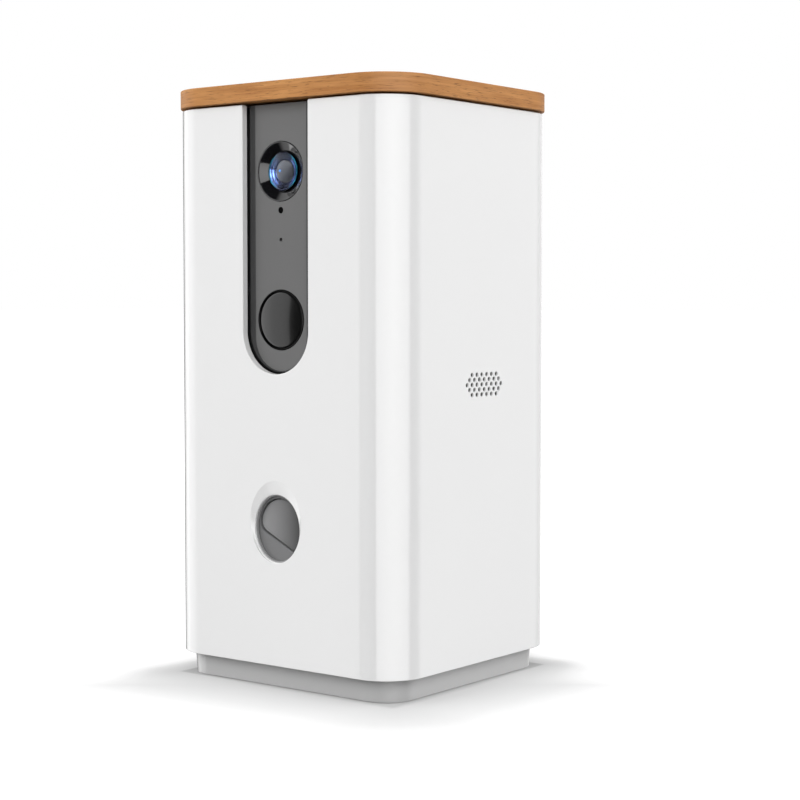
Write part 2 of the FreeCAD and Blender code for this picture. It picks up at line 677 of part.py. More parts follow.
def make_outer_housing():
    """White shell with the strip's slot, the flared outlet, the grille and the inlet's cut-out."""
    body = new_body("outer_housing")
    plan = level_sketch(body, S.housing_bottom)
    rounded_plan(plan, 0)
    block = pad(body, plan, S.housing_top - S.housing_bottom)
    ends = (S.housing_bottom.number, S.housing_top.number)

    def end_edge(edge):
        bounds = edge.BoundBox
        return bounds.ZLength < 0.01 and min(abs(bounds.ZMin - end) for end in ends) < 0.01

    round_edges(body, block, S.housing_round, end_edge)
    hollow = level_sketch(body, S.housing_top)
    rounded_plan(hollow, S.housing_wall)
    pocket(body, hollow, S.housing_top - LIP_TOP)
    opening = level_sketch(body, LIP_TOP)
    rounded_plan(opening, S.housing_lip)
    pocket(body, opening, S.housing_lip_thickness)
    slot = front_sketch(body, -HALF_Y)
    draw_arch(slot, S.slot_half, SLOT_CENTRE, S.housing_top)
    pocket(body, slot, S.housing_wall)
    cut_outlet(body)
    grille = side_sketch(body, HALF_X)
    for along, up in grille_holes():
        draw_circle(grille, along, up, S.grille_hole / 2)
    pocket(body, grille, S.housing_wall)
    inlet = front_sketch(body, HALF_Y)
    room = 1.5
    draw_rounded_box(inlet, -(S.inlet_width / 2 + room), S.inlet_height - S.inlet_tall / 2 - room,
                     S.inlet_width / 2 + room, S.inlet_height + S.inlet_tall / 2 + room, 2)
    pocket(body, inlet, S.housing_wall, forward=True)
    add_bosses(body)
    return node(body, "outer_housing")


def cut_outlet(body):
    """Oval treat outlet in a shallow dish that is widest above it."""
    low = OUTLET_Z - S.outlet_tall / 2 - 0.4
    dish = front_sketch(body, -HALF_Y)
    draw_oval(dish, low + S.flare_tall / 2, S.flare_width, S.flare_tall)
    mouth = front_sketch(body, S.flare_depth - HALF_Y)
    draw_oval(mouth, OUTLET_Z, S.outlet_width, S.outlet_tall)
    before = body.Shape.Volume
    flare = body.newObject("PartDesign::SubtractiveLoft", "flare")
    flare.Profile = dish
    flare.Sections = [mouth]
    cut_check(body, before)
    hole = front_sketch(body, -HALF_Y)
    draw_oval(hole, OUTLET_Z, S.outlet_width, S.outlet_tall)
    pocket(body, hole, S.housing_wall)


def add_bosses(body):
    """Screw bosses inside the housing, each with its pilot hole."""
    pilot = S.screw_radius + S.running_gap
    base = level_sketch(body, S.housing_bottom)
    base_holes = level_sketch(body, S.housing_bottom)
    for across, along in four_corners(BASE_SCREW_X, S.base_screw_y):
        draw_circle(base, across, along, 4)
        draw_circle(base_holes, across, along, pilot)
    pad(body, base, S.base_boss_height)
    pocket(body, base_holes, S.base_boss_height - 2, forward=True)
    speaker = side_sketch(body, SPEAKER_BACK)
    speaker_holes = side_sketch(body, SPEAKER_BACK)
    for along in speaker_screws():
        draw_circle(speaker, along, SPEAKER_Z, 3)
        draw_circle(speaker_holes, along, SPEAKER_Z, pilot)
    pad(body, speaker, INNER_X - SPEAKER_BACK)
    pocket(body, speaker_holes, 4, forward=True)
    board = front_sketch(body, BOARD_BACK)
    board_holes = front_sketch(body, BOARD_BACK)
    for across, up in board_screws():
        draw_circle(board, across, up, 3)
        draw_circle(board_holes, across, up, pilot)
    pad(body, board, INNER_Y - BOARD_BACK, back=True)
    pocket(body, board_holes, 6)
    carrier = front_sketch(body, FLANGE_Y)
    carrier_holes = front_sketch(body, FLANGE_Y)
    for across, up in carrier_screws():
        draw_circle(carrier, across, up, 2.6)
        draw_circle(carrier_holes, across, up, pilot)
    pad(body, carrier, FLANGE_Y + INNER_Y)
    pocket(body, carrier_holes, 5, forward=True)


def speaker_screws():
    """Places of the two screws of the speaker's clamp."""
    return [S.grille_y + (S.speaker_radius + S.speaker_ear) * side for side in (-1, 1)]


def board_screws():
    """Places of the main board's screws."""
    across = S.main_board_width / 2 - 4
    return [(across * side, up) for side in (-1, 1)
            for up in (S.main_board_bottom + 4, S.main_board_top - 4)]


def carrier_screws():
    """Places of the strip carrier's screws."""
    across = S.slot_half + S.carrier_screw_side
    heights = (SLOT_CENTRE + S.carrier_screw_low, CARRIER_TOP - S.carrier_screw_high)
    return [(across * side, up) for side in (-1, 1) for up in heights]


def make_base_plinth():
    """Set-back tray under the housing, with seats for feet, posts and screws."""
    body = new_body("base_plinth")
    outline = level_sketch(body, S.housing_bottom)
    rounded_plan(outline, S.plinth_inset)
    pad(body, outline, S.housing_bottom - S.plinth_bottom, back=True, taper=-S.plinth_taper)
    hollow = level_sketch(body, S.housing_bottom)
    rounded_plan(hollow, S.plinth_inset + S.plinth_wall)
    pocket(body, hollow, S.housing_bottom - PLINTH_FLOOR)
    posts = level_sketch(body, PLINTH_FLOOR)
    sockets = level_sketch(body, PLINTH_FLOOR + 8)
    for across, along in four_corners(POST_X, POST_Y):
        draw_circle(posts, across, along, S.post_radius + 2)
        draw_circle(sockets, across, along, S.post_radius + S.running_gap)
    pad(body, posts, 8)
    pocket(body, sockets, 8)
    towers = level_sketch(body, PLINTH_FLOOR)
    heads = level_sketch(body, S.plinth_bottom)
    holes = level_sketch(body, S.plinth_bottom)
    for across, along in four_corners(BASE_SCREW_X, S.base_screw_y):
        draw_circle(towers, across, along, 4.6)
        draw_circle(heads, across, along, S.screw_head_radius + 0.3)
        draw_circle(holes, across, along, S.screw_radius + 0.2)
    pad(body, towers, S.housing_bottom - PLINTH_FLOOR)
    pocket(body, heads, 5, forward=True)
    pocket(body, holes, S.housing_bottom - S.plinth_bottom, forward=True)
    seats = level_sketch(body, S.plinth_bottom)
    for across, along in four_corners(FOOT_X, FOOT_Y):
        draw_circle(seats, across, along, S.foot_radius + S.running_gap)
    pocket(body, seats, S.foot_height - S.plinth_bottom, forward=True)
    return node(body, "base_plinth")


def make_rubber_feet():
    """Four round feet in the plinth's seats."""
    feet = []
    for number, (across, along) in enumerate(four_corners(FOOT_X, FOOT_Y), start=1):
        feet.append(cylinder(f"foot_{number}", S.foot_radius, S.foot_height, (across, along, 0)))
    return node(group("feet", *feet), "rubber_feet")


def make_base_screws():
    """Four screws that hold the plinth to the housing."""
    screws = []
    level = S.plinth_bottom + 3.2
    for number, (across, along) in enumerate(four_corners(BASE_SCREW_X, S.base_screw_y), start=1):
        screws.append(screw(f"base_screw_{number}", (across, along, level),
                            S.base_screw_length, ALONG_Z))
    return node(group("base_screw_set", *screws), "base_screws")


# ---- lid -------------------------------------------------------------------------


def make_bamboo_lid():
    """Bamboo slab that stands a little out past the housing."""
    body = new_body("bamboo_lid")
    plan = level_sketch(body, LID_BOTTOM)
    rounded_plan(plan, -S.lid_overhang, S.lid_corner)
    slab = pad(body, plan, S.lid_thickness)
    top = (LID_BOTTOM + S.lid_thickness).number

    def level(edge):
        box_of_edge = edge.BoundBox
        return box_of_edge.ZLength < 0.01 and abs(box_of_edge.ZMin - top) < 0.01

    def low(edge):
        box_of_edge = edge.BoundBox
        return box_of_edge.ZLength < 0.01 and abs(box_of_edge.ZMin - LID_BOTTOM.number) < 0.01

    round_edges(body, slab, S.lid_round, lambda edge: level(edge) or low(edge))
    return node(body, "bamboo_lid")


def bin_plan(sketch, inset):
    """Draw the treat bin's plan, set in by a distance all round."""
    inset = as_size(inset)
    draw_rounded_box(sketch, -(BIN_HALF - inset), BIN_FRONT + inset,
                     BIN_HALF - inset, BIN_BACK - inset, S.bin_corner - inset)


def make_lid_plug():
    """Moulded plug under the bamboo: a plate that rests on the bin's rim, and a skirt."""
    body = new_body("lid_plug")
    plate = level_sketch(body, RIM_TOP)
    bin_plan(plate, -2)
    pad(body, plate, LID_BOTTOM - RIM_TOP)
    skirt = level_sketch(body, RIM_TOP)
    bin_plan(skirt, S.bin_wall + S.plug_gap)
    pad(body, skirt, S.plug_depth, back=True)
    hollow = level_sketch(body, RIM_TOP - S.plug_depth)
    bin_plan(hollow, S.bin_wall + S.plug_gap + S.plug_wall)
    pocket(body, hollow, S.plug_depth, forward=True)
    return node(body, "lid_plug")


def make_lid_seal():
    """Silicone ring round the plug's skirt."""
    body = new_body("lid_seal")
    middle = RIM_TOP - S.plug_depth / 2
    ring = level_sketch(body, middle - 1.2)
    bin_plan(ring, S.bin_wall + S.fit_gap)
    bin_plan(ring, S.bin_wall + S.plug_gap)
    pad(body, ring, 2.4)
    return node(body, "lid_seal")


# ---- treat bin and feed wheel ---------------------------------------------------


def hopper(label, inset, throat, lift):
    """Upright box whose lower end is trimmed to a cone over the throat."""
    body = new_body(label, (0, THROAT_Y, 0))
    plan = level_sketch(body, COVER_TOP)
    draw_rounded_box(plan, -(BIN_HALF - inset), BIN_FRONT + inset - THROAT_Y,
                     BIN_HALF - inset, BIN_BACK - inset - THROAT_Y,
                     S.bin_corner - inset)
    pad(body, plan, RIM_TOP - COVER_TOP + lift)
    reach = as_size(90)
    rise = (reach - throat) * sine(S.funnel_slope) / cosine(S.funnel_slope)
    trim = front_sketch(body, 0)
    draw_polygon(trim, [(throat, COVER_TOP - 1), (reach, COVER_TOP - 1),
                        (reach, COVER_TOP + rise), (throat, COVER_TOP)])
    groove(body, trim)
    return body


def make_treat_bin():
    """Removable hopper: a box, a conical floor with a throat, and a rim that the lid rests on."""
    outside = hopper("bin_outside", as_size(0), S.throat_radius + S.bin_wall * 1.5, 0)
    inside = hopper("bin_inside", S.bin_wall, S.throat_radius, 1)
    rim = new_body("bin_rim")
    plan = level_sketch(rim, RIM_TOP - S.rim_thickness)
    rounded_plan(plan, S.housing_wall + S.fit_gap)
    pad(rim, plan, S.rim_thickness)
    notch = level_sketch(rim, RIM_TOP)
    draw_box(notch, -(CARRIER_HALF + 1), -HALF_Y, CARRIER_HALF + 1, CARRIER_BACK + 2.6)
    pocket(rim, notch, S.rim_thickness)
    return node(cut("bin_cut", fuse("bin_solid", outside, rim), inside), "treat_bin")


def make_feed_cover():
    """Plate over the feed wheel, with the throat's hole at the back."""
    body = new_body("feed_cover")
    plate = level_sketch(body, COVER_UNDER)
    draw_circle(plate, 0, WHEEL_Y, SKIRT_INNER + S.skirt_wall)
    pad(body, plate, S.cover_thickness)
    tab = level_sketch(body, COVER_UNDER)
    draw_circle(tab, 0, FEED_MOTOR_Y, PINION_ROOM + S.skirt_wall)
    pad(body, tab, S.cover_thickness)
    throat = level_sketch(body, COVER_TOP)
    draw_circle(throat, 0, THROAT_Y, S.throat_radius)
    pocket(body, throat, S.cover_thickness)
    axle = level_sketch(body, COVER_TOP)
    draw_circle(axle, 0, WHEEL_Y, S.axle_radius + S.running_gap)
    pocket(body, axle, S.cover_thickness)
    return node(body, "feed_cover")


def make_mechanism_deck():
    """Plate that carries the feed wheel, with a wall round the wheel and its pinion."""
    body = new_body("mechanism_deck")
    plate = level_sketch(body, DECK_UNDER)
    draw_rounded_box(plate, -DECK_HALF, DECK_FRONT, DECK_HALF, DECK_BACK, 8)
    pad(body, plate, S.deck_thickness)
    height = COVER_UNDER - DECK_LEVEL
    for along, radius in ((WHEEL_Y, SKIRT_INNER), (FEED_MOTOR_Y, PINION_ROOM)):
        wall = level_sketch(body, DECK_LEVEL)
        draw_circle(wall, 0, along, radius + S.skirt_wall)
        pad(body, wall, height)
    for along, radius in ((WHEEL_Y, SKIRT_INNER), (FEED_MOTOR_Y, PINION_ROOM)):
        room = level_sketch(body, COVER_UNDER)
        draw_circle(room, 0, along, radius)
        pocket(body, room, height)
    holes = level_sketch(body, DECK_LEVEL)
    draw_circle(holes, 0, DROP_Y, S.chute_radius)
    draw_circle(holes, 0, WHEEL_Y, S.axle_radius + S.running_gap)
    draw_circle(holes, 0, FEED_MOTOR_Y, 3)
    for across, along in four_corners(POST_X, POST_Y):
        draw_circle(holes, across, along, S.screw_radius + 0.2)
    for across, along in chamber_screws():
        draw_circle(holes, across, along, S.screw_radius + S.running_gap)
    pocket(body, holes, S.deck_thickness)
    return node(body, "mechanism_deck")


def chamber_screws():
    """Places of the two screws that hold the launch chamber under the deck."""
    across = S.chamber_half + S.chamber_wall + 5
    return [(across * side, PIVOT_Y - 13) for side in (-1, 1)]


def make_deck_posts():
    """Four posts from the plinth up to the mechanism deck."""
    posts = []
    height = DECK_UNDER - PLINTH_FLOOR
    for number, (across, along) in enumerate(four_corners(POST_X, POST_Y), start=1):
        post = cylinder(f"post_{number}", S.post_radius, height, (across, along, PLINTH_FLOOR))
        bore = cylinder(f"post_bore_{number}", S.screw_radius + S.running_gap, 12,
                        (across, along, DECK_UNDER - 12))
        posts.append(cut(f"post_cut_{number}", post, bore))
    return node(group("post_set", *posts), "deck_posts")


def make_deck_screws():
    """Four screws that hold the deck to its posts."""
    screws = []
    level = DECK_LEVEL + 1.8
    for number, (across, along) in enumerate(four_corners(POST_X, POST_Y), start=1):
        screws.append(screw(f"deck_screw_{number}", (across, along, level), 14, AGAINST_Z))
    return node(group("deck_screw_set", *screws), "deck_screws")


def make_wheel_axle():
    """Axle of the feed wheel, from the deck to the cover."""
    axle = cylinder("axle", S.axle_radius, COVER_TOP - DECK_UNDER, (0, WHEEL_Y, DECK_UNDER))
    return node(axle, "wheel_axle")


def tooth_half_angle(teeth, pitch_radius, radius):
    """Half the angle that an involute tooth takes at a radius."""
    pressure = math.radians(S.pressure_angle.number)
    base = pitch_radius * math.cos(pressure)
    here = math.acos(base / max(radius, base))
    play = S.gear_play.number / (2 * pitch_radius)
    at_pitch = math.pi / (2 * teeth) - play
    return at_pitch + (math.tan(pressure) - pressure) - (math.tan(here) - here)


def gear_outline(teeth, kept, module, middle):
    """Points of involute teeth, the middle of them at an angle in degrees."""
    pitch = module * teeth / 2
    base = pitch * math.cos(math.radians(S.pressure_angle.number))
    foot = pitch - module * S.gear_dedendum.number
    tip = pitch + module * S.gear_addendum.number
    heights = [foot, max(foot, base) + 0.05, (pitch + base) / 2 + 0.1, (pitch + tip) / 2, tip]
    points = []
    for number in range(kept):
        centre = math.radians(middle) + (number - (kept - 1) / 2) * 2 * math.pi / teeth
        flank = [(radius, tooth_half_angle(teeth, pitch, radius)) for radius in heights]
        for radius, half in flank:
            points.append((radius, centre - half))
        for radius, half in reversed(flank):
            points.append((radius, centre + half))
    return [Vector(radius * math.cos(angle), radius * math.sin(angle), 0)
            for radius, angle in points]


def gear_solid(label, outline, thickness, at, turn):
    """Extrude a gear's outline and put it in place."""
    solid = Part.Face(Part.makePolygon(outline + outline[:1])).extrude(Vector(0, 0, thickness))
    target = DOC.addObject("Part::Feature", label)
    target.Shape = solid
    place(target, at, turn)
    return target


def make_feed_wheel():
    """Wheel with treat pockets and a ring of gear teeth round its lower half."""
    body = new_body("feed_wheel_disc", (0, WHEEL_Y, WHEEL_BOTTOM))
    disc = level_sketch(body, 0)
    draw_circle(disc, 0, 0, S.wheel_radius)
    pad(body, disc, S.wheel_height)
    pocket_sketch = level_sketch(body, S.wheel_height)
    draw_circle(pocket_sketch, 0, -S.pocket_orbit, S.pocket_radius)
    first = pocket(body, pocket_sketch, S.wheel_height)
    pattern = body.newObject("PartDesign::PolarPattern", "pockets")
    pattern.Originals = [first]
    pattern.Axis = (pocket_sketch, ["N_Axis"])
    pattern.Angle = 360
    bind(pattern, "Occurrences", S.pocket_count)
    body.Tip = pattern
    DOC.recompute()
    relief = level_sketch(body, S.wheel_height)
    draw_circle(relief, 0, 0, S.pocket_orbit - S.pocket_radius - 2.5)
    draw_circle(relief, 0, 0, S.axle_radius + 3)
    pocket(body, relief, S.wheel_height - 2.5)
    teeth = int(S.feed_wheel_teeth.number)
    outline = gear_outline(teeth, teeth, S.feed_module.number, 0)
    ring = gear_solid("feed_ring", outline, S.feed_gear_height.number,
                      (0, WHEEL_Y, WHEEL_BOTTOM), ALONG_Z)
    core = cylinder("feed_ring_core", S.wheel_radius - 1, S.wheel_height,
                    (0, WHEEL_Y, WHEEL_BOTTOM))
    bore = cylinder("feed_wheel_bore", S.axle_radius + S.running_gap, S.wheel_height,
                    (0, WHEEL_Y, WHEEL_BOTTOM))
    rim = cut("feed_rim", ring, core)
    return node(cut("feed_wheel_cut", fuse("feed_wheel_solid", body, rim), bore), "feed_wheel")


def make_feed_pinion():
    """Pinion on the feed motor's shaft."""
    teeth = int(S.feed_pinion_teeth.number)
    outline = gear_outline(teeth, teeth, S.feed_module.number, 0)
    at = (0, FEED_MOTOR_Y, WHEEL_BOTTOM)
    gear = gear_solid("feed_pinion_gear", outline, S.feed_gear_height.number, at, ALONG_Z)
    shaft = cylinder("feed_motor_shaft", S.motor_shaft_radius, 10 + S.deck_thickness,
                     (0, FEED_MOTOR_Y, DECK_UNDER - 4))
    return node(fuse("feed_pinion_solid", gear, shaft), "feed_pinion")


def motor(label, at, turn, face):
    """Gear motor: gearbox, can and two terminals, with a bore for its shaft."""
    gearbox = cylinder(label + "_gearbox", S.motor_radius, S.motor_length * 0.42, at, turn)
    ahead = turn.multVec(Vector(0, 0, 1))
    can_at = [as_size(base) + S.motor_length * 0.42 * round(step) for base, step in zip(at, ahead)]
    can = cylinder(label + "_can", S.motor_radius - 1.6, S.motor_length * 0.58, can_at, turn)
    bore = cylinder(label + "_bore", S.motor_shaft_radius + S.running_gap, face, at, turn)
    return cut(label + "_cut", fuse(label + "_solid", gearbox, can), bore)


def make_feed_motor():
    """Motor that hangs under the deck."""
    at = (0, FEED_MOTOR_Y, DECK_UNDER)
    return node(motor("feed_motor_part", at, AGAINST_Z, 5), "feed_motor")


# ---- launch chamber and toss arm -------------------------------------------------


def make_drop_chute():
    """Tube that drops a treat from the deck into the launch chamber."""
    body = new_body("drop_chute", (0, DROP_Y, 0))
    profile = front_sketch(body, 0)
    outer = S.chute_radius + S.chute_wall
    flange = outer + 2
    draw_polygon(profile, [(S.chute_radius, CHUTE_BOTTOM), (outer, CHUTE_BOTTOM),
                           (outer, DECK_UNDER - 2), (flange, DECK_UNDER - 2),
                           (flange, DECK_UNDER), (S.chute_radius, DECK_UNDER)])
    revolve(body, profile)
    return node(body, "drop_chute")


def trough_radius(height):
    """Distance from the shaft to the paddle's lower edge at a height, with its gap."""
    ahead = PIVOT_Y - PADDLE_FRONT
    below = PIVOT_Z - height
    return root(ahead * ahead + below * below) + S.paddle_gap


def trough_profile(extra_side, extra_radius):
    """Half section of the conical trough: it follows the paddle's slanting lower edge."""
    left = trough_radius(PADDLE_LEFT)
    right = trough_radius(PADDLE_RIGHT)
    half = S.chamber_half + extra_side
    slope = (right - left) / (S.paddle_half * 2)
    middle = (left + right) / 2
    return [(-half, 0), (-half, -(middle - slope * half + extra_radius)),
            (half, -(middle + slope * half + extra_radius)), (half, 0)]


def paddle_outline(body, y, gap):
    """Sketch of the paddle's outline, grown by a gap."""
    outline = front_sketch(body, y)
    draw_dome(outline, S.paddle_half + gap, PADDLE_LEFT - gap - PIVOT_Z,
              PADDLE_RIGHT - gap - PIVOT_Z, PADDLE_TOP - S.paddle_half - PIVOT_Z)
    return outline


def round_low_corner(body, feature, front, gap):
    """Round the lower left corner of the paddle's outline, grown by a gap."""
    left = -(S.paddle_half + gap).number
    low = (PADDLE_LEFT - gap - PIVOT_Z).number

    def at_corner(edge):
        bounds = edge.BoundBox
        return (bounds.XLength < 0.01 and bounds.ZLength < 0.01
                and abs(bounds.XMin - left) < 0.01 and abs(bounds.ZMin - low) < 0.01
                and abs(bounds.YMin - as_size(front).number) < 0.01)

    round_edges(body, feature, S.paddle_corner + gap, at_corner)


def make_launch_chamber():
    """Trough round the toss arm's shaft, with side walls, a front wall and a neck."""
    body = new_body("launch_chamber", (0, PIVOT_Y, PIVOT_Z))
    front = CHAMBER_FRONT - PIVOT_Y
    outer_half = S.chamber_half + S.chamber_wall
    shell = front_sketch(body, 0)
    draw_polygon(shell, trough_profile(S.chamber_wall, S.chamber_wall))
    revolve(body, shell, "H_Axis")
    inner = front_sketch(body, 0)
    draw_polygon(inner, trough_profile(0, 0))
    groove(body, inner, "H_Axis")
    far = as_size(90)
    reach_y = far * sine(S.chamber_reach) + 9
    reach_z = 7 - far * cosine(S.chamber_reach)
    trim = side_sketch(body, outer_half + 1)
    draw_polygon(trim, [(-far, 7), (9, 7), (reach_y, reach_z), (far * 1.2, reach_z),
                        (far * 1.2, far), (-far, far)])
    pocket(body, trim, outer_half * 2 + 2)
    nose = side_sketch(body, outer_half + 1)
    draw_box(nose, -far, -far, front, far)
    pocket(body, nose, outer_half * 2 + 2)
    top = DECK_UNDER - PIVOT_Z
    inner_front = front + S.chamber_front_wall
    neck = level_sketch(body, 4)
    draw_polygon(neck, [(-outer_half, front), (outer_half, front), (outer_half, 4),
                        (S.chamber_half, 4), (S.chamber_half, inner_front),
                        (-S.chamber_half, inner_front), (-S.chamber_half, 4), (-outer_half, 4)])
    pad(body, neck, top - 4)
    wall = front_sketch(body, front)
    draw_rounded_box(wall, -(outer_half + 1), OUTLET_Z - S.outlet_tall / 2 - 4 - PIVOT_Z,
                     outer_half + 1, top, 3)
    pad(body, wall, S.chamber_front_wall, back=True)
    opened = pocket(body, paddle_outline(body, front, S.paddle_gap), S.chamber_front_wall)
    round_low_corner(body, opened, front, S.paddle_gap)
    add_chamber_ears(body, top)
    bearing = side_sketch(body, outer_half + 1)
    draw_circle(bearing, 0, 0, S.arm_shaft_radius + 1.5 + S.running_gap)
    pocket(body, bearing, outer_half * 2 + 2)
    return node(body, "launch_chamber")


def add_chamber_ears(body, top):
    """Two ears that screw up against the deck, and two posts for the motor's mount."""
    ears = level_sketch(body, top - 3)
    holes = level_sketch(body, top)
    edge = S.chamber_half + S.chamber_wall / 2
    for side, (across, along) in zip((-1, 1), chamber_screws()):
        left, right = (across - 5, -edge) if side < 0 else (edge, across + 5)
        local = along - PIVOT_Y
        draw_box(ears, left, local - 5, right, local + 5)
        draw_circle(holes, across, local, S.screw_radius + 0.2)
    pad(body, ears, 3)
    pocket(body, holes, 3)
    posts = side_sketch(body, edge)
    post_holes = side_sketch(body, TOSS_MOUNT_X)
    for along, up in mount_screws():
        draw_circle(posts, along - PIVOT_Y, up - PIVOT_Z, 3)
        draw_circle(post_holes, along - PIVOT_Y, up - PIVOT_Z, S.screw_radius + S.running_gap)
    pad(body, posts, TOSS_MOUNT_X - edge)
    pocket(body, post_holes, 6)


def mount_screws():
    """Places of the two screws that hold the toss motor's mount."""
    return [(TOSS_MOTOR_Y + S.mount_back - 4.5, TOSS_MOTOR_Z - S.mount_back + 7.5),
            (TOSS_MOTOR_Y - S.mount_front + 4.5, TOSS_MOTOR_Z - S.mount_back + 4)]


def make_chamber_screws():
    """Two screws up through the chamber's ears into the deck."""
    screws = []
    for number, (across, along) in enumerate(chamber_screws(), start=1):
        at = (across, along, DECK_UNDER - 4.8)
        screws.append(screw(f"chamber_screw_{number}", at, 8, ALONG_Z))
    return node(group("chamber_screw_set", *screws), "chamber_screws")


def make_toss_arm():
    """Paddle with a round top and a slanting lower edge, on an arm with a hub."""
    body = new_body("toss_arm", (0, PIVOT_Y, PIVOT_Z))
    front = PADDLE_FRONT - PIVOT_Y
    back = front + S.paddle_thickness
    paddle = pad(body, paddle_outline(body, front, 0), S.paddle_thickness, back=True)
    round_low_corner(body, paddle, front, 0)
    arm = side_sketch(body, -S.arm_half)
    draw_polygon(arm, [(-4, 2), (back - 0.4, PADDLE_TOP - 4 - PIVOT_Z),
                       (back - 0.4, PADDLE_LEFT - 4 - PIVOT_Z), (3, -4)])
    pad(body, arm, S.arm_half * 2)
    hub_half = S.chamber_half - 0.5
    hub = side_sketch(body, -hub_half)
    draw_circle(hub, 0, 0, S.arm_hub_radius)
    pad(body, hub, hub_half * 2)
    bore = side_sketch(body, hub_half)
    draw_circle(bore, 0, 0, S.arm_shaft_radius + 0.02)
    pocket(body, bore, hub_half * 2)
    return node(body, "toss_arm")


def make_arm_shaft():
    """Steel shaft of the toss arm, through both walls of the chamber."""
    left = -(S.chamber_half + S.chamber_wall + 13)
    right = S.sector_x + S.toss_gear_width
    at = (left, PIVOT_Y, PIVOT_Z)
    return node(cylinder("shaft", S.arm_shaft_radius, right - left, at, ALONG_X), "arm_shaft")


def make_shaft_bushes():
    """Two flanged bushes that carry the toss arm's shaft in the chamber's walls."""
    bushes = []
    bore = S.arm_shaft_radius + S.running_gap
    outer = S.arm_shaft_radius + 1.5
    face = S.chamber_half + S.chamber_wall
    for number, (side, turn) in enumerate(((-1, AGAINST_X), (1, ALONG_X)), start=1):
        start = ((S.chamber_half - 0.3) * side, PIVOT_Y, PIVOT_Z)
        sleeve = cylinder(f"bush_sleeve_{number}", outer, S.chamber_wall + 1.2, start, turn)
        flange = cylinder(f"bush_flange_{number}", outer + 1.4, 0.9,
                          (face * side, PIVOT_Y, PIVOT_Z), turn)
        hole = cylinder(f"bush_hole_{number}", bore, S.chamber_wall + 2, start, turn)
        solid = fuse(f"bush_solid_{number}", sleeve, flange)
        bushes.append(cut(f"bush_cut_{number}", solid, hole))
    return node(group("bush_set", *bushes), "shaft_bushes")


def make_sector_gear():
    """Toothed sector on the toss arm's shaft."""
    teeth = int(S.sector_teeth.number)
    kept = int(S.sector_kept.number)
    middle = 90 - PINION_ANGLE - S.toss_travel.number / 2
    outline = gear_outline(teeth, kept, S.toss_module.number, middle) + [Vector()]
    at = (S.sector_x, PIVOT_Y, PIVOT_Z)
    fan = gear_solid("sector_fan", outline, S.toss_gear_width.number, at, ALONG_X)
    hub = cylinder("sector_hub", S.arm_shaft_radius + 4, S.toss_gear_width, at, ALONG_X)
    bore = cylinder("sector_bore", S.arm_shaft_radius + 0.02, S.toss_gear_width, at, ALONG_X)
    return node(cut("sector_cut", fuse("sector_solid", fan, hub), bore), "sector_gear")


def make_toss_pinion():
    """Pinion on the toss motor's shaft, with a tooth that points at the sector's centre."""
    teeth = int(S.toss_pinion_teeth.number)
    outline = gear_outline(teeth, teeth, S.toss_module.number, 90 - PINION_ANGLE + 180
                           + 180 / teeth)
    at = (S.sector_x, TOSS_MOTOR_Y, TOSS_MOTOR_Z)
    gear = gear_solid("toss_pinion_gear", outline, S.toss_gear_width.number, at, ALONG_X)
    shaft = cylinder("toss_motor_shaft", S.motor_shaft_radius, S.toss_gear_width + 6, at, ALONG_X)
    return node(fuse("toss_pinion_solid", gear, shaft), "toss_pinion")


def make_toss_motor_mount():
    """Plate that holds the toss motor beside the launch chamber."""
    body = new_body("toss_motor_mount", (0, TOSS_MOTOR_Y, TOSS_MOTOR_Z))
    plate = side_sketch(body, TOSS_MOUNT_X)
    draw_rounded_box(plate, -S.mount_front, -S.mount_back, S.mount_back, S.mount_above, 3)
    pad(body, plate, 2)
    holes = side_sketch(body, TOSS_MOUNT_X + 2)
    draw_circle(holes, 0, 0, 3)
    for along, up in mount_screws():
        draw_circle(holes, along - TOSS_MOTOR_Y, up - TOSS_MOTOR_Z, S.screw_radius + 0.2)
    pocket(body, holes, 2)
    return node(body, "toss_motor_mount")


def make_mount_screws():
    """Two screws through the mount into the chamber's posts."""
    screws = []
    for number, (along, up) in enumerate(mount_screws(), start=1):
        at = (TOSS_MOUNT_X + 3.8, along, up)
        screws.append(screw(f"mount_screw_{number}", at, 8, AGAINST_X))
    return node(group("mount_screw_set", *screws), "mount_screws")


def make_toss_motor():
    """Motor that cocks the toss arm."""
    at = (TOSS_MOUNT_X + 2, TOSS_MOTOR_Y, TOSS_MOTOR_Z)
    return node(motor("toss_motor_part", at, ALONG_X, 5), "toss_motor")


def coil_rings(steps, sides):
    """Rings of points along a helix, each square to the wire."""
    radius, wire = S.spring_radius.number, S.spring_wire.number
    rise = S.spring_pitch.number / (2 * math.pi)
    rings = []
    for step in range(int(S.spring_turns.number * steps) + 1):
        turned = 2 * math.pi * step / steps
        outward = Vector(math.cos(turned), math.sin(turned), 0)
        along = Vector(-radius * math.sin(turned), radius * math.cos(turned), rise).normalize()
        upward = outward.cross(along)
        centre = outward * radius + Vector(0, 0, rise * turned)
        around = [2 * math.pi * side / sides for side in range(sides)]
        rings.append([centre + outward * (wire * math.cos(angle))
                      + upward * (wire * math.sin(angle)) for angle in around])
    return rings


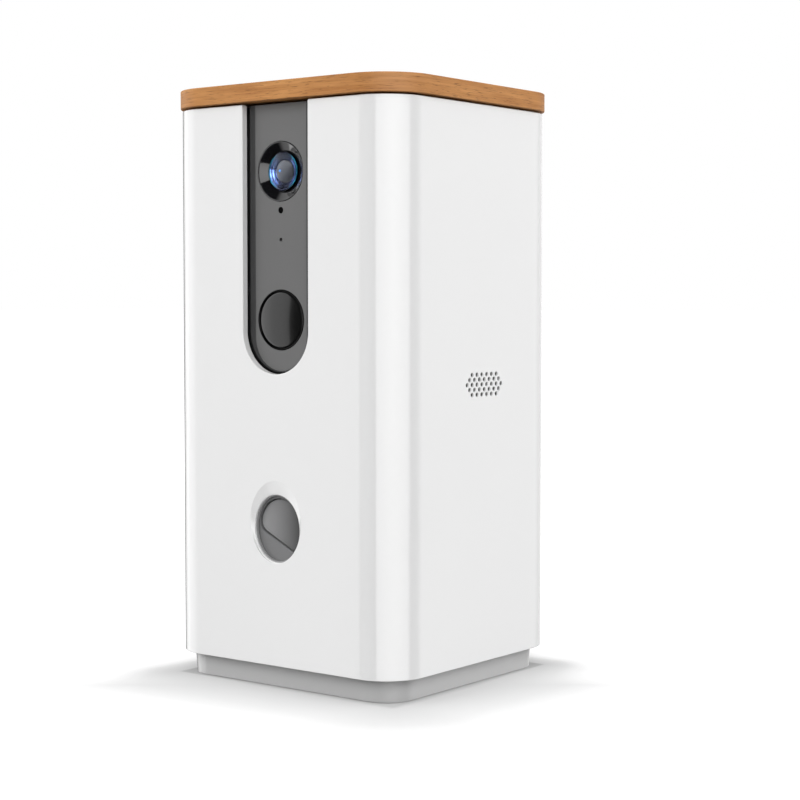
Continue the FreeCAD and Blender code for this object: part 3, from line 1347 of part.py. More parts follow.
def make_torsion_spring():
    """Coil round the shaft beside the chamber, between its wall and the collar."""
    rings = coil_rings(14, 6)
    faces = []
    for ring, following in zip(rings, rings[1:]):
        for side, point in enumerate(ring):
            after = (side + 1) % len(ring)
            for corners in ((point, ring[after], following[side]),
                            (ring[after], following[after], following[side])):
                faces.append(Part.Face(Part.makePolygon([*corners, corners[0]])))
    for ring in (rings[0], rings[-1]):
        faces.append(Part.Face(Part.makePolygon([*ring, ring[0]])))
    shell = Part.Shell(faces)
    shell.sewShape()
    solid = Part.Solid(shell)
    if solid.Volume < 0:
        solid.reverse()
    coil = DOC.addObject("Part::Feature", "spring_coil")
    coil.Shape = solid
    start = -(S.chamber_half + S.chamber_wall + 1.1 + S.spring_wire)
    place(coil, (start, PIVOT_Y, PIVOT_Z), AGAINST_X)
    return node(coil, "torsion_spring")


def make_spring_collar():
    """Collar on the shaft that the spring's free end turns."""
    start = -(S.chamber_half + S.chamber_wall + 1.4 + S.spring_wire * 2
              + S.spring_pitch * S.spring_turns)
    at = (start, PIVOT_Y, PIVOT_Z)
    disc = cylinder("collar_disc", S.spring_radius + 2.4, 2.4, at, AGAINST_X)
    bore = cylinder("collar_bore", S.arm_shaft_radius + 0.02, 2.4, at, AGAINST_X)
    return node(cut("collar_cut", disc, bore), "spring_collar")


# ---- camera strip -----------------------------------------------------------------


def make_panel_carrier():
    """Dark tray behind the slot: a raised frame, a wide flange, and posts for the boards."""
    body = new_body("panel_carrier")
    flange = front_sketch(body, FLANGE_Y)
    draw_arch(flange, CARRIER_HALF, COVER_TOP + S.fit_gap + CARRIER_HALF, CARRIER_TOP)
    pad(body, flange, S.carrier_thickness, back=True)
    frame = front_sketch(body, FACE_Y)
    draw_arch(frame, FRAME_HALF, SLOT_CENTRE, CARRIER_TOP)
    pad(body, frame, S.carrier_step, back=True)
    recess = front_sketch(body, FACE_Y)
    draw_arch(recess, FACE_HALF + S.running_gap, FACE_CENTRE, CARRIER_TOP)
    pocket(body, recess, S.face_thickness)
    posts = front_sketch(body, CARRIER_BACK)
    for across, up in camera_board_corners():
        draw_circle(posts, across, up, 2)
    pad(body, posts, CAMERA_BOARD_Y - CARRIER_BACK, back=True)
    posts = front_sketch(body, CARRIER_BACK)
    for across, up in button_board_corners():
        draw_circle(posts, across, up, 2)
    pad(body, posts, BUTTON_BOARD_Y - CARRIER_BACK, back=True)
    holes = front_sketch(body, FACE_Y)
    draw_circle(holes, 0, LENS_Z, S.bezel_mouth + 2 + S.running_gap)
    draw_circle(holes, 0, BUTTON_Z, S.button_radius + S.fit_gap)
    draw_circle(holes, 0, LIGHT_Z, S.light_radius + 1 + S.running_gap)
    draw_circle(holes, 0, VOICE_Z, 3 + S.running_gap)
    for across, up in carrier_screws():
        draw_circle(holes, across, up, S.screw_radius + 0.2)
    pocket(body, holes, CARRIER_BACK - FACE_Y)
    return node(body, "panel_carrier")


def camera_board_corners():
    """Posts of the camera board."""
    across, up = S.camera_board_width / 2 - 3, S.camera_board_tall / 2 - 3
    return [(across * side, LENS_Z + up * end) for side in (-1, 1) for end in (-1, 1)]


def button_board_corners():
    """Posts of the button board."""
    across, up = S.button_board_width / 2 - 3, S.button_board_tall / 2 - 2.5
    return [(across * side, BUTTON_Z + up * end) for side in (-1, 1) for end in (-1, 1)]


def make_carrier_screws():
    """Four screws that hold the carrier to the housing."""
    screws = []
    for number, (across, up) in enumerate(carrier_screws(), start=1):
        at = (across, CARRIER_BACK + 1.8, up)
        screws.append(screw(f"carrier_screw_{number}", at, 8, AGAINST_Y))
    return node(group("carrier_screw_set", *screws), "carrier_screws")


def make_face_panel():
    """Grey strip that carries the lens, the sensors and the button."""
    body = new_body("face_panel")
    plate = front_sketch(body, FACE_Y)
    draw_arch(plate, FACE_HALF, FACE_CENTRE, CARRIER_TOP)
    pad(body, plate, S.face_thickness, back=True)
    holes = front_sketch(body, FACE_Y)
    draw_circle(holes, 0, LENS_Z, S.bezel_radius + S.running_gap)
    draw_circle(holes, 0, BUTTON_Z, S.button_ring_radius + S.running_gap)
    draw_circle(holes, 0, LIGHT_Z, S.light_radius)
    draw_circle(holes, 0, VOICE_Z, S.voice_radius)
    pocket(body, holes, S.face_thickness)
    return node(body, "face_panel")


def turned_front(label, height, points):
    """Body turned round an axis along Y: points are a radius and a depth behind the face."""
    body = new_body(label, (0, FACE_Y, height))
    body.Placement = Placement(body.Placement.Base, AGAINST_Y)
    profile = front_sketch(body, 0)
    draw_polygon(profile, [(radius, -as_size(depth)) for radius, depth in points])
    revolve(body, profile)
    return body


def make_lens_bezel():
    """Ring round the lens, with a shallow conical dish and a spigot into the carrier."""
    mouth, outer = S.bezel_mouth, S.bezel_radius
    seat = S.lens_radius - 1.2
    body = turned_front("lens_bezel", LENS_Z, [
        (outer, 0), (mouth, S.bezel_dish), (mouth, 4.2), (seat, 4.2), (seat, 5.6),
        (mouth + 2, 5.6), (mouth + 2, S.face_thickness), (outer, S.face_thickness)])
    return node(body, "lens_bezel")


def make_front_lens():
    """Domed front lens."""
    rim = S.lens_radius
    crown = S.lens_crown
    radius = (rim * rim + crown * crown) / (crown * 2)
    ball = DOC.addObject("Part::Sphere", "lens_ball")
    bind(ball, "Radius", radius)
    place(ball, (0, FACE_Y + 0.3 + radius, LENS_Z))
    plug = cylinder("lens_plug", rim, 4.1, (0, FACE_Y, LENS_Z), ALONG_Y)
    lens = DOC.addObject("Part::Common", "lens_common")
    lens.Base = plug
    lens.Tool = ball
    return node(lens, "front_lens")


def make_lens_barrel():
    """Lens barrel in its square holder on the camera board."""
    start = FACE_Y + 4.5
    barrel = cylinder("barrel", S.barrel_radius, CAMERA_BOARD_Y - start,
                      (0, start, LENS_Z), ALONG_Y)
    half = S.barrel_radius + 1.5
    holder = box("holder", (-half, CAMERA_BOARD_Y - 5, LENS_Z - half),
                 (half, CAMERA_BOARD_Y, LENS_Z + half))
    return node(fuse("barrel_solid", barrel, holder), "lens_barrel")


def board(label, left, right, low, high, y):
    """Circuit board whose front face lies at a depth."""
    return box(label, (left, y, low), (right, as_size(y) + S.board_thickness, high))


def make_camera_board():
    """Board behind the lens."""
    half, tall = S.camera_board_width / 2, S.camera_board_tall / 2
    pcb = board("camera_pcb", -half, half, LENS_Z - tall, LENS_Z + tall, CAMERA_BOARD_Y)
    return node(pcb, "camera_board")


def make_light_sensor():
    """Light sensor with its clear window in the face."""
    tip = S.light_radius - S.running_gap
    body = turned_front("light_sensor", LIGHT_Z, [
        (0, 0.2), (tip, 0.2), (tip, S.face_thickness), (S.light_radius + 1, S.face_thickness),
        (S.light_radius + 1, 5.4), (0, 5.4)])
    return node(body, "light_sensor")


def make_microphone():
    """Microphone capsule behind its hole."""
    depth = SENSOR_BACK - FACE_BACK
    at = (0, FACE_BACK, VOICE_Z)
    return node(cylinder("capsule", 3, depth, at, ALONG_Y), "microphone")


def make_sensor_board():
    """Board that carries the light sensor and the microphone."""
    low, high = VOICE_Z - 6, LIGHT_Z + 2
    start = CARRIER_BACK + 0.1
    return node(board("sensor_pcb", -8, 8, low, high, start), "sensor_board")


def make_touch_button():
    """Hollow cap with a stop flange behind the carrier, and a stem for the switch."""
    rim = S.button_radius
    stop = CARRIER_BACK - FACE_Y + 0.2
    body = turned_front("touch_button", BUTTON_Z, [
        (0, -0.2), (rim, -0.2), (rim, stop), (rim + 1.3, stop), (rim + 1.3, stop + 1.2),
        (rim - 1.4, stop + 1.2), (rim - 1.4, 2.2), (2.5, 2.2), (2.5, stop), (0, stop)])
    return node(body, "touch_button")


def make_button_ring():
    """Glossy ring round the button."""
    inner = S.button_radius + S.fit_gap
    outer = S.button_ring_radius
    body = turned_front("button_ring", BUTTON_Z, [
        (inner, 0.1), (inner + 0.3, -0.2), (outer - 0.2, -0.2), (outer, 0),
        (outer, S.face_thickness), (inner, S.face_thickness)])
    return node(body, "button_ring")


def make_button_board():
    """Board behind the button."""
    half, tall = S.button_board_width / 2, S.button_board_tall / 2
    pcb = board("button_pcb", -half, half, BUTTON_Z - tall, BUTTON_Z + tall, BUTTON_BOARD_Y)
    return node(pcb, "button_board")


def make_tact_switch():
    """Switch on the button board, which the button's stem presses."""
    gap = S.button_travel + 0.1
    tip = CARRIER_BACK + 0.2 + gap
    body_front = tip + 1
    case = box("switch_case", (-3, body_front, BUTTON_Z - 3),
               (3, BUTTON_BOARD_Y, BUTTON_Z + 3))
    plunger = cylinder("switch_plunger", 1.7, 1, (0, tip, BUTTON_Z), ALONG_Y)
    return node(fuse("switch_solid", case, plunger), "tact_switch")


# ---- speaker and electronics ---------------------------------------------------------


def turned_side(label, start, height, points):
    """Body turned round an axis along X: points are a radius and a distance inward."""
    body = new_body(label, (start, S.grille_y, height))
    body.Placement = Placement(body.Placement.Base, AGAINST_X)
    profile = front_sketch(body, 0)
    draw_polygon(profile, points)
    revolve(body, profile)
    return body


def make_speaker_gasket():
    """Foam ring between the speaker and the grille."""
    rim = S.speaker_radius
    body = turned_side("speaker_gasket", INNER_X, SPEAKER_Z, [
        (rim - 2.6, 0), (rim, 0), (rim, 1), (rim - 2.6, 1)])
    return node(body, "speaker_gasket")


def make_speaker_driver():
    """Speaker: rim, cone, basket and magnet."""
    rim = S.speaker_radius
    body = turned_side("speaker_driver", INNER_X - 1, SPEAKER_Z, [
        (0, 3.6), (4, 3), (rim - 3.2, 0.4), (rim - 2.6, 0), (rim, 0), (rim, 1.7), (rim - 1.6, 1.7),
        (rim * 0.6, S.speaker_basket), (rim * 0.6, S.speaker_depth), (0, S.speaker_depth)])
    return node(body, "speaker_driver")


def make_speaker_clamp():
    """Ring with two ears that presses the speaker against the wall."""
    body = new_body("speaker_clamp")
    ring = side_sketch(body, SPEAKER_BACK - 1.5)
    draw_circle(ring, S.grille_y, SPEAKER_Z, S.speaker_radius + 2)
    pad(body, ring, 1.5)
    ears = side_sketch(body, SPEAKER_BACK - 1.5)
    holes = side_sketch(body, SPEAKER_BACK)
    for along in speaker_screws():
        draw_circle(ears, along, SPEAKER_Z, 4)
        draw_circle(holes, along, SPEAKER_Z, S.screw_radius + 0.2)
    draw_circle(holes, S.grille_y, SPEAKER_Z, S.speaker_radius - 1.4)
    pad(body, ears, 1.5)
    pocket(body, holes, 1.5)
    return node(body, "speaker_clamp")


def make_speaker_screws():
    """Two screws of the speaker's clamp."""
    screws = []
    for number, along in enumerate(speaker_screws(), start=1):
        at = (SPEAKER_BACK - 3.3, along, SPEAKER_Z)
        screws.append(screw(f"speaker_screw_{number}", at, 6, ALONG_X))
    return node(group("speaker_screw_set", *screws), "speaker_screws")


def make_main_board():
    """Main circuit board on standoffs at the back, with holes for its screws."""
    body = new_body("main_board")
    half = S.main_board_width / 2
    plate = front_sketch(body, BOARD_BACK)
    draw_rounded_box(plate, -half, S.main_board_bottom, half, S.main_board_top, 2)
    pad(body, plate, S.board_thickness)
    holes = front_sketch(body, BOARD_BACK)
    for across, up in board_screws():
        draw_circle(holes, across, up, S.screw_radius + 0.2)
    pocket(body, holes, S.board_thickness, forward=True)
    return node(body, "main_board")


def make_board_screws():
    """Four screws of the main board."""
    screws = []
    for number, (across, up) in enumerate(board_screws(), start=1):
        at = (across, BOARD_BACK - S.board_thickness - 1.8, up)
        screws.append(screw(f"board_screw_{number}", at, 8, ALONG_Y))
    return node(group("board_screw_set", *screws), "board_screws")


def make_radio_module():
    """Shielded radio module on the main board."""
    back = BOARD_BACK - S.board_thickness
    top = S.main_board_top - S.radio_drop
    right = S.main_board_width / 2 - S.radio_side
    shield = box("radio_shield", (right - S.radio_width, back - 2.6, top - S.radio_tall),
                 (right, back, top))
    return node(shield, "radio_module")


def make_power_inlet():
    """Power socket on the main board, with its mouth just inside the back wall."""
    body = new_body("power_inlet")
    half_x = S.inlet_width / 2
    half_z = S.inlet_tall / 2
    mouth = HALF_Y - 0.3
    shell = front_sketch(body, mouth)
    draw_rounded_box(shell, -half_x, S.inlet_height - half_z, half_x, S.inlet_height + half_z, 1.5)
    pad(body, shell, mouth - BOARD_BACK)
    hollow = front_sketch(body, mouth)
    wall = 0.35
    draw_rounded_box(hollow, wall - half_x, S.inlet_height - half_z + wall, half_x - wall,
                     S.inlet_height + half_z - wall, 1.15)
    pocket(body, hollow, 6, forward=True)
    tongue = front_sketch(body, mouth - 1)
    draw_box(tongue, wall * 2 - half_x + 1, S.inlet_height - 0.35,
             half_x - 1 - wall * 2, S.inlet_height + 0.35)
    pad(body, tongue, 5)
    return node(body, "power_inlet")


# ---- build, check and write ------------------------------------------------------------


def build():
    """Make every sub-part."""
    make_outer_housing()
    make_base_plinth()
    make_rubber_feet()
    make_base_screws()
    make_bamboo_lid()
    make_lid_plug()
    make_lid_seal()
    make_treat_bin()
    make_feed_cover()
    make_mechanism_deck()
    make_deck_posts()
    make_deck_screws()
    make_wheel_axle()
    make_feed_wheel()
    make_feed_pinion()
    make_feed_motor()
    make_drop_chute()
    make_launch_chamber()
    make_chamber_screws()
    make_toss_arm()
    make_arm_shaft()
    make_shaft_bushes()
    make_sector_gear()
    make_toss_pinion()
    make_toss_motor_mount()
    make_mount_screws()
    make_toss_motor()
    make_torsion_spring()
    make_spring_collar()
    make_panel_carrier()
    make_carrier_screws()
    make_face_panel()
    make_lens_bezel()
    make_front_lens()
    make_lens_barrel()
    make_camera_board()
    make_light_sensor()
    make_microphone()
    make_sensor_board()
    make_touch_button()
    make_button_ring()
    make_button_board()
    make_tact_switch()
    make_speaker_gasket()
    make_speaker_driver()
    make_speaker_clamp()
    make_speaker_screws()
    make_main_board()
    make_board_screws()
    make_radio_module()
    make_power_inlet()
    DOC.recompute()


def check():
    """Stop if an object failed or a sub-part's shape is missing or broken."""
    for item in DOC.Objects:
        if "Invalid" in item.State or "Error" in item.State:
            raise RuntimeError(f"{item.Name} failed: {item.State}")
    for item in NODES:
        if item.Shape.isNull() or not item.Shape.isValid():
            raise RuntimeError(f"{item.Label} has no valid shape")


def write():
    """Write each sub-part's shape under its own name."""
    os.makedirs("parts", exist_ok=True)
    for item in NODES:
        item.Shape.exportStep(f"parts/{item.Label}.step")


build()
check()
write()
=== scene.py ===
import json
import math

import bmesh
import bpy
import numpy as np
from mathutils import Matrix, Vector
from mathutils.geometry import delaunay_2d_cdt


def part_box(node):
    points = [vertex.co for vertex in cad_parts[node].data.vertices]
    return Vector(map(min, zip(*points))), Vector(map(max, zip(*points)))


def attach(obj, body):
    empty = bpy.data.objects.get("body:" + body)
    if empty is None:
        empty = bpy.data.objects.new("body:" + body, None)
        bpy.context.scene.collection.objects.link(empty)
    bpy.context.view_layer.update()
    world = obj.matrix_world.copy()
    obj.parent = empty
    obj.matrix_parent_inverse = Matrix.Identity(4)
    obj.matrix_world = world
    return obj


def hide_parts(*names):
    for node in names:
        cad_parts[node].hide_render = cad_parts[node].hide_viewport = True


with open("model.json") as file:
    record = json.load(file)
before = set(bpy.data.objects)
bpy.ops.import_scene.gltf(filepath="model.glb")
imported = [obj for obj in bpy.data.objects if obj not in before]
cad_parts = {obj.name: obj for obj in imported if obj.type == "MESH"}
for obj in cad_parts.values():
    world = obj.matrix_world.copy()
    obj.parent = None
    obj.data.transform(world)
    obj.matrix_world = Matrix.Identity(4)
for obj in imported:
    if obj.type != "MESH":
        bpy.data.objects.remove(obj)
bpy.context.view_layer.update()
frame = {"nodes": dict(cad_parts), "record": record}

bl_info = {
    "name": "Treat Tossing Pet Camera",
    "version": (1, 0, 0),
    "blender": (4, 5, 0),
    "location": "View3D > Sidebar > Pet Camera",
    "description": "Dresses the packed model of a treat tossing pet camera",
    "category": "Object",
}

MM = 0.001
FULL_TURN = 2 * math.pi
SHARP_EDGE = 32  # degrees between two faces, over which their edge stays sharp

# Noise scales, in cells to a metre, that the moulded plastics share.
FLOW_MARKS = 14
SHEEN_DRIFT = 90
SPARK_TEXTURE = 1800


def box_of(node):
    """Lowest and highest corner of a packed node, as arrays."""
    low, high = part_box(node)
    return np.array(low), np.array(high)


def middle_of(node):
    """Middle of a packed node's box, in millimetres."""
    return sum(box_of(node)) / 2 / MM


def add_object(name, data):
    """Add an object with its data to the scene."""
    made = bpy.data.objects.new(name, data)
    bpy.context.scene.collection.objects.link(made)
    return made


# ---- shader expressions ----


def step(operation, flipped=False):
    """The method of an operator, which adds one Math node."""
    def method(self, other):
        first, second = (other, self) if flipped else (self, other)
        return self.nodes.maths(operation, first, second)
    return method


class Value:
    """A socket in an expression. Each operator adds one Math node."""

    def __init__(self, nodes, socket):
        self.nodes = nodes
        self.socket = socket

    __add__, __radd__ = step("ADD"), step("ADD", True)
    __sub__, __rsub__ = step("SUBTRACT"), step("SUBTRACT", True)
    __mul__, __rmul__ = step("MULTIPLY"), step("MULTIPLY", True)
    __truediv__ = step("DIVIDE")
    __pow__ = step("POWER")
    at_least = step("MAXIMUM")


class Nodes:
    """Adds nodes to a shader tree."""

    def __init__(self, tree):
        self.tree = tree

    def fill(self, socket, value):
        """Link a Value to a socket, or set the socket to a number or colour."""
        if isinstance(value, Value):
            self.tree.links.new(value.socket, socket)
        elif isinstance(value, tuple) and len(value) == 3 and len(socket.default_value) == 4:
            socket.default_value = (*value, 1)
        else:
            socket.default_value = value

    def node(self, kind, settings=None, sockets=None, output=0):
        """Add a node of a type with its settings and its sockets' values or links."""
        made = self.tree.nodes.new("ShaderNode" + kind)
        for name, value in (settings or {}).items():
            if name == "stops":
                ramp = made.color_ramp
                while len(ramp.elements) < len(value):
                    ramp.elements.new(0.5)
                for element, (position, color) in zip(ramp.elements, value):
                    element.position = position
                    element.color = (*color, 1)
            else:
                setattr(made, name, value)
        for name, value in (sockets or {}).items():
            self.fill(made.inputs[name], value)
        return Value(self, made.outputs[output])

    def maths(self, operation, *values):
        """A Math node on numbers."""
        return self.node("Math", {"operation": operation}, dict(enumerate(values)))

    def vector(self, operation, *places, output=0):
        """A Vector Math node on places."""
        sockets = dict(enumerate(places))
        return self.node("VectorMath", {"operation": operation}, sockets, output)

    def dot(self, place, way):
        """How far a place lies along a direction."""
        return self.vector("DOT_PRODUCT", place, way, output="Value")

    def swept(self, value, low, high, top=1.0):
        """0 to top while a value goes from low to high."""
        return self.node("MapRange", None, {"Value": value, "From Min": low,
                                            "From Max": high, "To Max": top})


class Finish(Nodes):
    """A procedural material on one Principled shader."""

    def __init__(self, name, **sockets):
        self.material = bpy.data.materials.new(name)
        self.material.use_nodes = True
        super().__init__(self.material.node_tree)
        self.shader = self.tree.nodes["Principled BSDF"]
        self.place = self.node("TexCoord", output="Object")
        self.dress(**sockets)

    def dress(self, **sockets):
        """Set or link sockets of the shader: coat_weight stands for Coat Weight."""
        for name, value in sockets.items():
            words = name.replace("_", " ").title().replace("Ior", "IOR")
            self.fill(self.shader.inputs[words], value)
        return self

    def noise(self, scale, detail=2.0, stretch=(1, 1, 1), place=None, roughness=0.5):
        """Noise between 0 and 1; a stretch over 1 packs the pattern along that axis."""
        place = place or self.place
        spread = self.node("Mapping", None, {"Vector": place, "Scale": stretch})
        return self.node("TexNoise", None, {"Vector": spread, "Scale": scale,
                                            "Detail": detail, "Roughness": roughness})

    def mix(self, amount, first, second):
        """Blend two colours."""
        return self.node("Mix", {"data_type": "RGBA"}, {0: amount, 6: first, 7: second}, 2)

    def part(self, axis):
        """One Object coordinate."""
        return self.node("SeparateXYZ", None, {0: self.place}, axis)

    def ramp(self, amount, stops):
        """Colours set out over an amount."""
        return self.node("ValToRGB", {"stops": stops}, {"Fac": amount})

    def greys(self, amount, stops):
        """Grey levels set out over an amount."""
        return self.ramp(amount, [(place, (level,) * 3) for place, level in stops])

    def bump(self, height, strength, distance):
        """Link a height to the shader's normal."""
        normal = self.node("Bump", None, {"Height": height, "Strength": strength,
                                          "Distance": distance})
        return self.dress(normal=normal)


def tint(color, factor):
    """A colour made lighter or darker."""
    return tuple(min(1.0, channel * factor) for channel in color)


def moulded(name, color, roughness, mottling=0.02, texture=0.25, **sockets):
    """Moulded plastic: faint flow marks in the colour and a fine spark-eroded texture."""
    finish = Finish(name, **sockets)
    flow = finish.noise(FLOW_MARKS, 2, (1, 1, 0.4))
    skin = finish.noise(SPARK_TEXTURE, 2)
    deep, light = tint(color, 1 - mottling), tint(color, 1 + mottling)
    finish.dress(base_color=finish.mix(flow, deep, light),
                 roughness=roughness - 0.04 + 0.08 * finish.noise(SHEEN_DRIFT, 3))
    finish.bump(skin, texture, 0.00004)
    return finish.material


def bamboo(name, light, dark, fibre_scale):
    """Laminated bamboo: strips of differing tone, long fibres and short dark vessels.

    Its tone is a weighted sum of fine fibres, wider bands and large patches.
    """
    finish = Finish(name, specular_ior_level=0.4, coat_roughness=0.35)
    middle = tuple((a + b) / 2 for a, b in zip(light, dark))
    along = finish.node("UVMap", {"uv_map": "grain"})
    fibres = finish.noise(fibre_scale, 5, (0.035, 1, 1), along, 0.62)
    bands = finish.noise(fibre_scale * 0.28, 2, (0.06, 1, 1), along)
    patches = finish.noise(28, 2, (1, 1, 1), along)
    vessels = finish.noise(fibre_scale * 1.5, 2, (0.055, 1, 1), along, 0.7)
    marks = finish.swept(vessels, 0.58, 0.68, 0.8)
    tone = 0.42 * fibres + 0.38 * bands + 0.2 * patches
    wood = finish.ramp(tone, ((0.34, dark), (0.5, middle), (0.64, light)))
    finish.dress(base_color=finish.mix(marks, wood, tint(dark, 0.42)),
                 roughness=0.52 + 0.16 * fibres, coat_weight=0.02 + 0.08 * bands)
    finish.bump(fibres - 0.7 * marks, 0.35, 0.0002)
    return finish.material


def metal(name, color, roughness, stretch=(1, 1, 1)):
    """Metal with fine drawn lines along the axis of the smallest stretch."""
    finish = Finish(name, metallic=1.0)
    lines = finish.noise(700, 4, stretch)
    finish.dress(base_color=finish.mix(lines, tint(color, 0.86), tint(color, 1.06)),
                 roughness=roughness - 0.08 + 0.16 * lines)
    finish.bump(lines, 0.12, 0.00003)
    return finish.material


def circuit(name, mask, copper, scale):
    """Circuit board: solder mask over square-cornered tracks, with round tinned pads."""
    finish = Finish(name, coat_weight=0.4, coat_roughness=0.2)
    cells = finish.node("TexVoronoi", {"distance": "MANHATTAN"},
                        {"Vector": finish.place, "Scale": scale, "Randomness": 0.72})
    zigzag = finish.maths("PINGPONG", cells * 4.0, 1.0)
    tracks = finish.swept(zigzag, 0.42, 0.5)
    dots = finish.node("TexVoronoi", None, {"Vector": finish.place, "Scale": scale * 1.6})
    pads = finish.maths("LESS_THAN", dots, 0.16)
    board = finish.mix(tracks, mask, tint(mask, 1.9))
    finish.dress(base_color=finish.mix(pads, board, copper), metallic=pads * 0.9,
                 roughness=0.42 - 0.12 * pads)
    finish.bump(tracks + pads, 0.2, 0.00005)
    return finish.material


def rubbery(name, color, roughness=0.75, scale=900, depth=0.5):
    """Rubber or foam with an open, matte texture."""
    finish = Finish(name, specular_ior_level=0.3)
    pores = finish.noise(scale, 4)
    finish.dress(base_color=finish.mix(pores, tint(color, 0.7), tint(color, 1.3)),
                 roughness=roughness - 0.1 + 0.2 * pores)
    finish.bump(pores, depth, 0.0001)
    return finish.material


# ---- mesh building ----


class Surface:
    """Grids and fills of points, gathered into one mesh."""

    def __init__(self):
        self.points = []
        self.faces = []
        self.count = 0

    def add(self, points, faces):
        """Add points and the faces between them."""
        points = np.asarray(points, float).reshape(-1, 3)
        self.points.append(points)
        self.faces += [[corner + self.count for corner in face] for face in faces]
        self.count += len(points)
        return self

    def grid(self, rows, around=True, over=False, keep=None):
        """Quads between neighbours of a table of points, closed around and over if asked."""
        rows = np.asarray(rows, float)
        height, width = rows.shape[:2]
        row = np.arange(height if over else height - 1)[:, None]
        column = np.arange(width if around else width - 1)[None, :]
        below, beside = (row + 1) % height, (column + 1) % width
        quads = np.stack([row * width + column, row * width + beside,
                          below * width + beside, below * width + column], -1)
        quads = quads.reshape(-1, 4) if keep is None else quads[keep[:height, :width]]
        return self.add(rows, quads.tolist())

    def fill(self, loop):
        """One flat face inside a closed loop of points."""
        return self.add(loop, [list(range(len(loop)))])

    def holed(self, outline, holes, place):
        """Area between an outline and its holes, as triangles that use only their points."""
        loops = [outline, *holes]
        flat = np.concatenate(loops)
        starts = np.cumsum([0] + [len(loop) for loop in loops])
        rings = [list(range(start, end)) for start, end in zip(starts, starts[1:])]
        edges = [pair for ring in rings for pair in zip(ring, ring[1:] + ring[:1])]
        points, _, faces, _, _, _ = delaunay_2d_cdt(
            [Vector(point) for point in flat], edges, [], 1, 1e-9)
        flat = np.array([tuple(point) for point in points])
        centres = np.array([flat[list(face)].mean(0) for face in faces])
        keep = inside(centres, outline)
        for hole in holes:
            keep &= ~inside(centres, hole)
        chosen = [list(face) for face, kept in zip(faces, keep) if kept]
        return self.add(place(flat), chosen)

    def make(self, name, slot, body, finish, *replaced, uv=None):
        """Make the piece, smooth but for its sharp edges, and seat it in the frame."""
        mesh = bpy.data.meshes.new(name)
        mesh.from_pydata(np.concatenate(self.points).tolist(), [], self.faces)
        shape = bmesh.new()
        shape.from_mesh(mesh)
        bmesh.ops.remove_doubles(shape, verts=shape.verts, dist=1e-6)
        bmesh.ops.recalc_face_normals(shape, faces=shape.faces)
        shape.to_mesh(mesh)
        shape.free()
        mesh.shade_smooth()
        mesh.set_sharp_from_angle(angle=math.radians(SHARP_EDGE))
        if uv:
            uv(mesh)
        mesh.materials.append(finish)
        piece = add_object(name, mesh)
        weighted = piece.modifiers.new("even_shading", "WEIGHTED_NORMAL")
        weighted.keep_sharp = True
        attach(piece, body)
        if replaced:
            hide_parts(*replaced)


def inside(points, loop):
    """Which points lie in a loop: a ray to the right crosses it an odd number of times."""
    x, y = points[:, 0, None], points[:, 1, None]
    ax, ay = np.asarray(loop, float).T
    bx, by = np.roll(ax, -1), np.roll(ay, -1)
    spans = (ay > y) != (by > y)
    rise = np.where(by == ay, 1, by - ay)
    crossing = ax + (y - ay) * (bx - ax) / rise
    return (spans & (crossing > x)).sum(1) % 2 == 1


def arc(centre, radius, start, end, steps):
    """Points of an arc between two angles in degrees."""
    angle = np.radians(np.linspace(start, end, steps + 1))
    return np.array(centre) + radius * np.stack([np.cos(angle), np.sin(angle)], -1)


def ring(centre, half_width, half_height, steps, grow=0.0):
    """Ellipse moved outward along its own normal by a distance."""
    angle = np.arange(steps) * FULL_TURN / steps
    cosine, sine = np.cos(angle), np.sin(angle)
    normal = np.stack([cosine * half_height, sine * half_width], -1)
    normal /= np.linalg.norm(normal, axis=1, keepdims=True)
    return np.stack([centre[0] + half_width * cosine, centre[1] + half_height * sine],
                    -1) + grow * normal


def rounded_plan(half_x, half_y, radius, steps=14, extra=()):
    """Rounded rectangle, anticlockwise from the front right; extra x split its front."""
    corners = ((half_x, -half_y, -90), (half_x, half_y, 0), (-half_x, half_y, 90),
               (-half_x, -half_y, 180))
    arcs = [arc((x - math.copysign(radius, x), y - math.copysign(radius, y)), radius,
                start, start + 90, steps) for x, y, start in corners]
    front = np.array([(x, -half_y) for x in extra]).reshape(-1, 2)
    return np.concatenate([*arcs, front])


def level_loop(plan, up):
    """A plan's points at one height."""
    return np.column_stack([plan, np.full(len(plan), up)])


def edge_steps(radius, steps=4):
    """Growth and depth of an opening's loops as its edge rounds over by a quarter circle."""
    return [(radius * (1 - math.sin(angle)), radius * (1 - math.cos(angle)))
            for angle in np.linspace(0, math.pi / 2, steps + 1)]


def turned(profile, face, up, steps=96):
    """Profile of radius and depth behind a face, carried round a level axis at a height.

    The profile is in millimetres; the face's place and the height are in metres.
    """
    angle = np.arange(steps) * FULL_TURN / steps
    radius, depth = (np.array(profile, float) * MM).T
    across = radius[:, None] * np.cos(angle)
    rise = radius[:, None] * np.sin(angle)
    back = np.broadcast_to(depth[:, None], across.shape)
    return Surface().grid(np.stack([across, face + back, up + rise], -1), over=True)


# ---- sizes and colours a user can change ----


def length(name, description, millimetres):
    """A length property in metres, from its default in millimetres."""
    return bpy.props.FloatProperty(name=name, description=description, unit="LENGTH",
                                   default=millimetres * MM, min=0.0, precision=5)


def number(name, description, default, low, high):
    """A plain number property."""
    return bpy.props.FloatProperty(name=name, description=description, default=default,
                                   min=low, max=high)


def colour(name, description, default):
    """A colour property."""
    return bpy.props.FloatVectorProperty(name=name, description=description, subtype="COLOR",
                                         size=3, default=default, min=0.0, max=1.0)


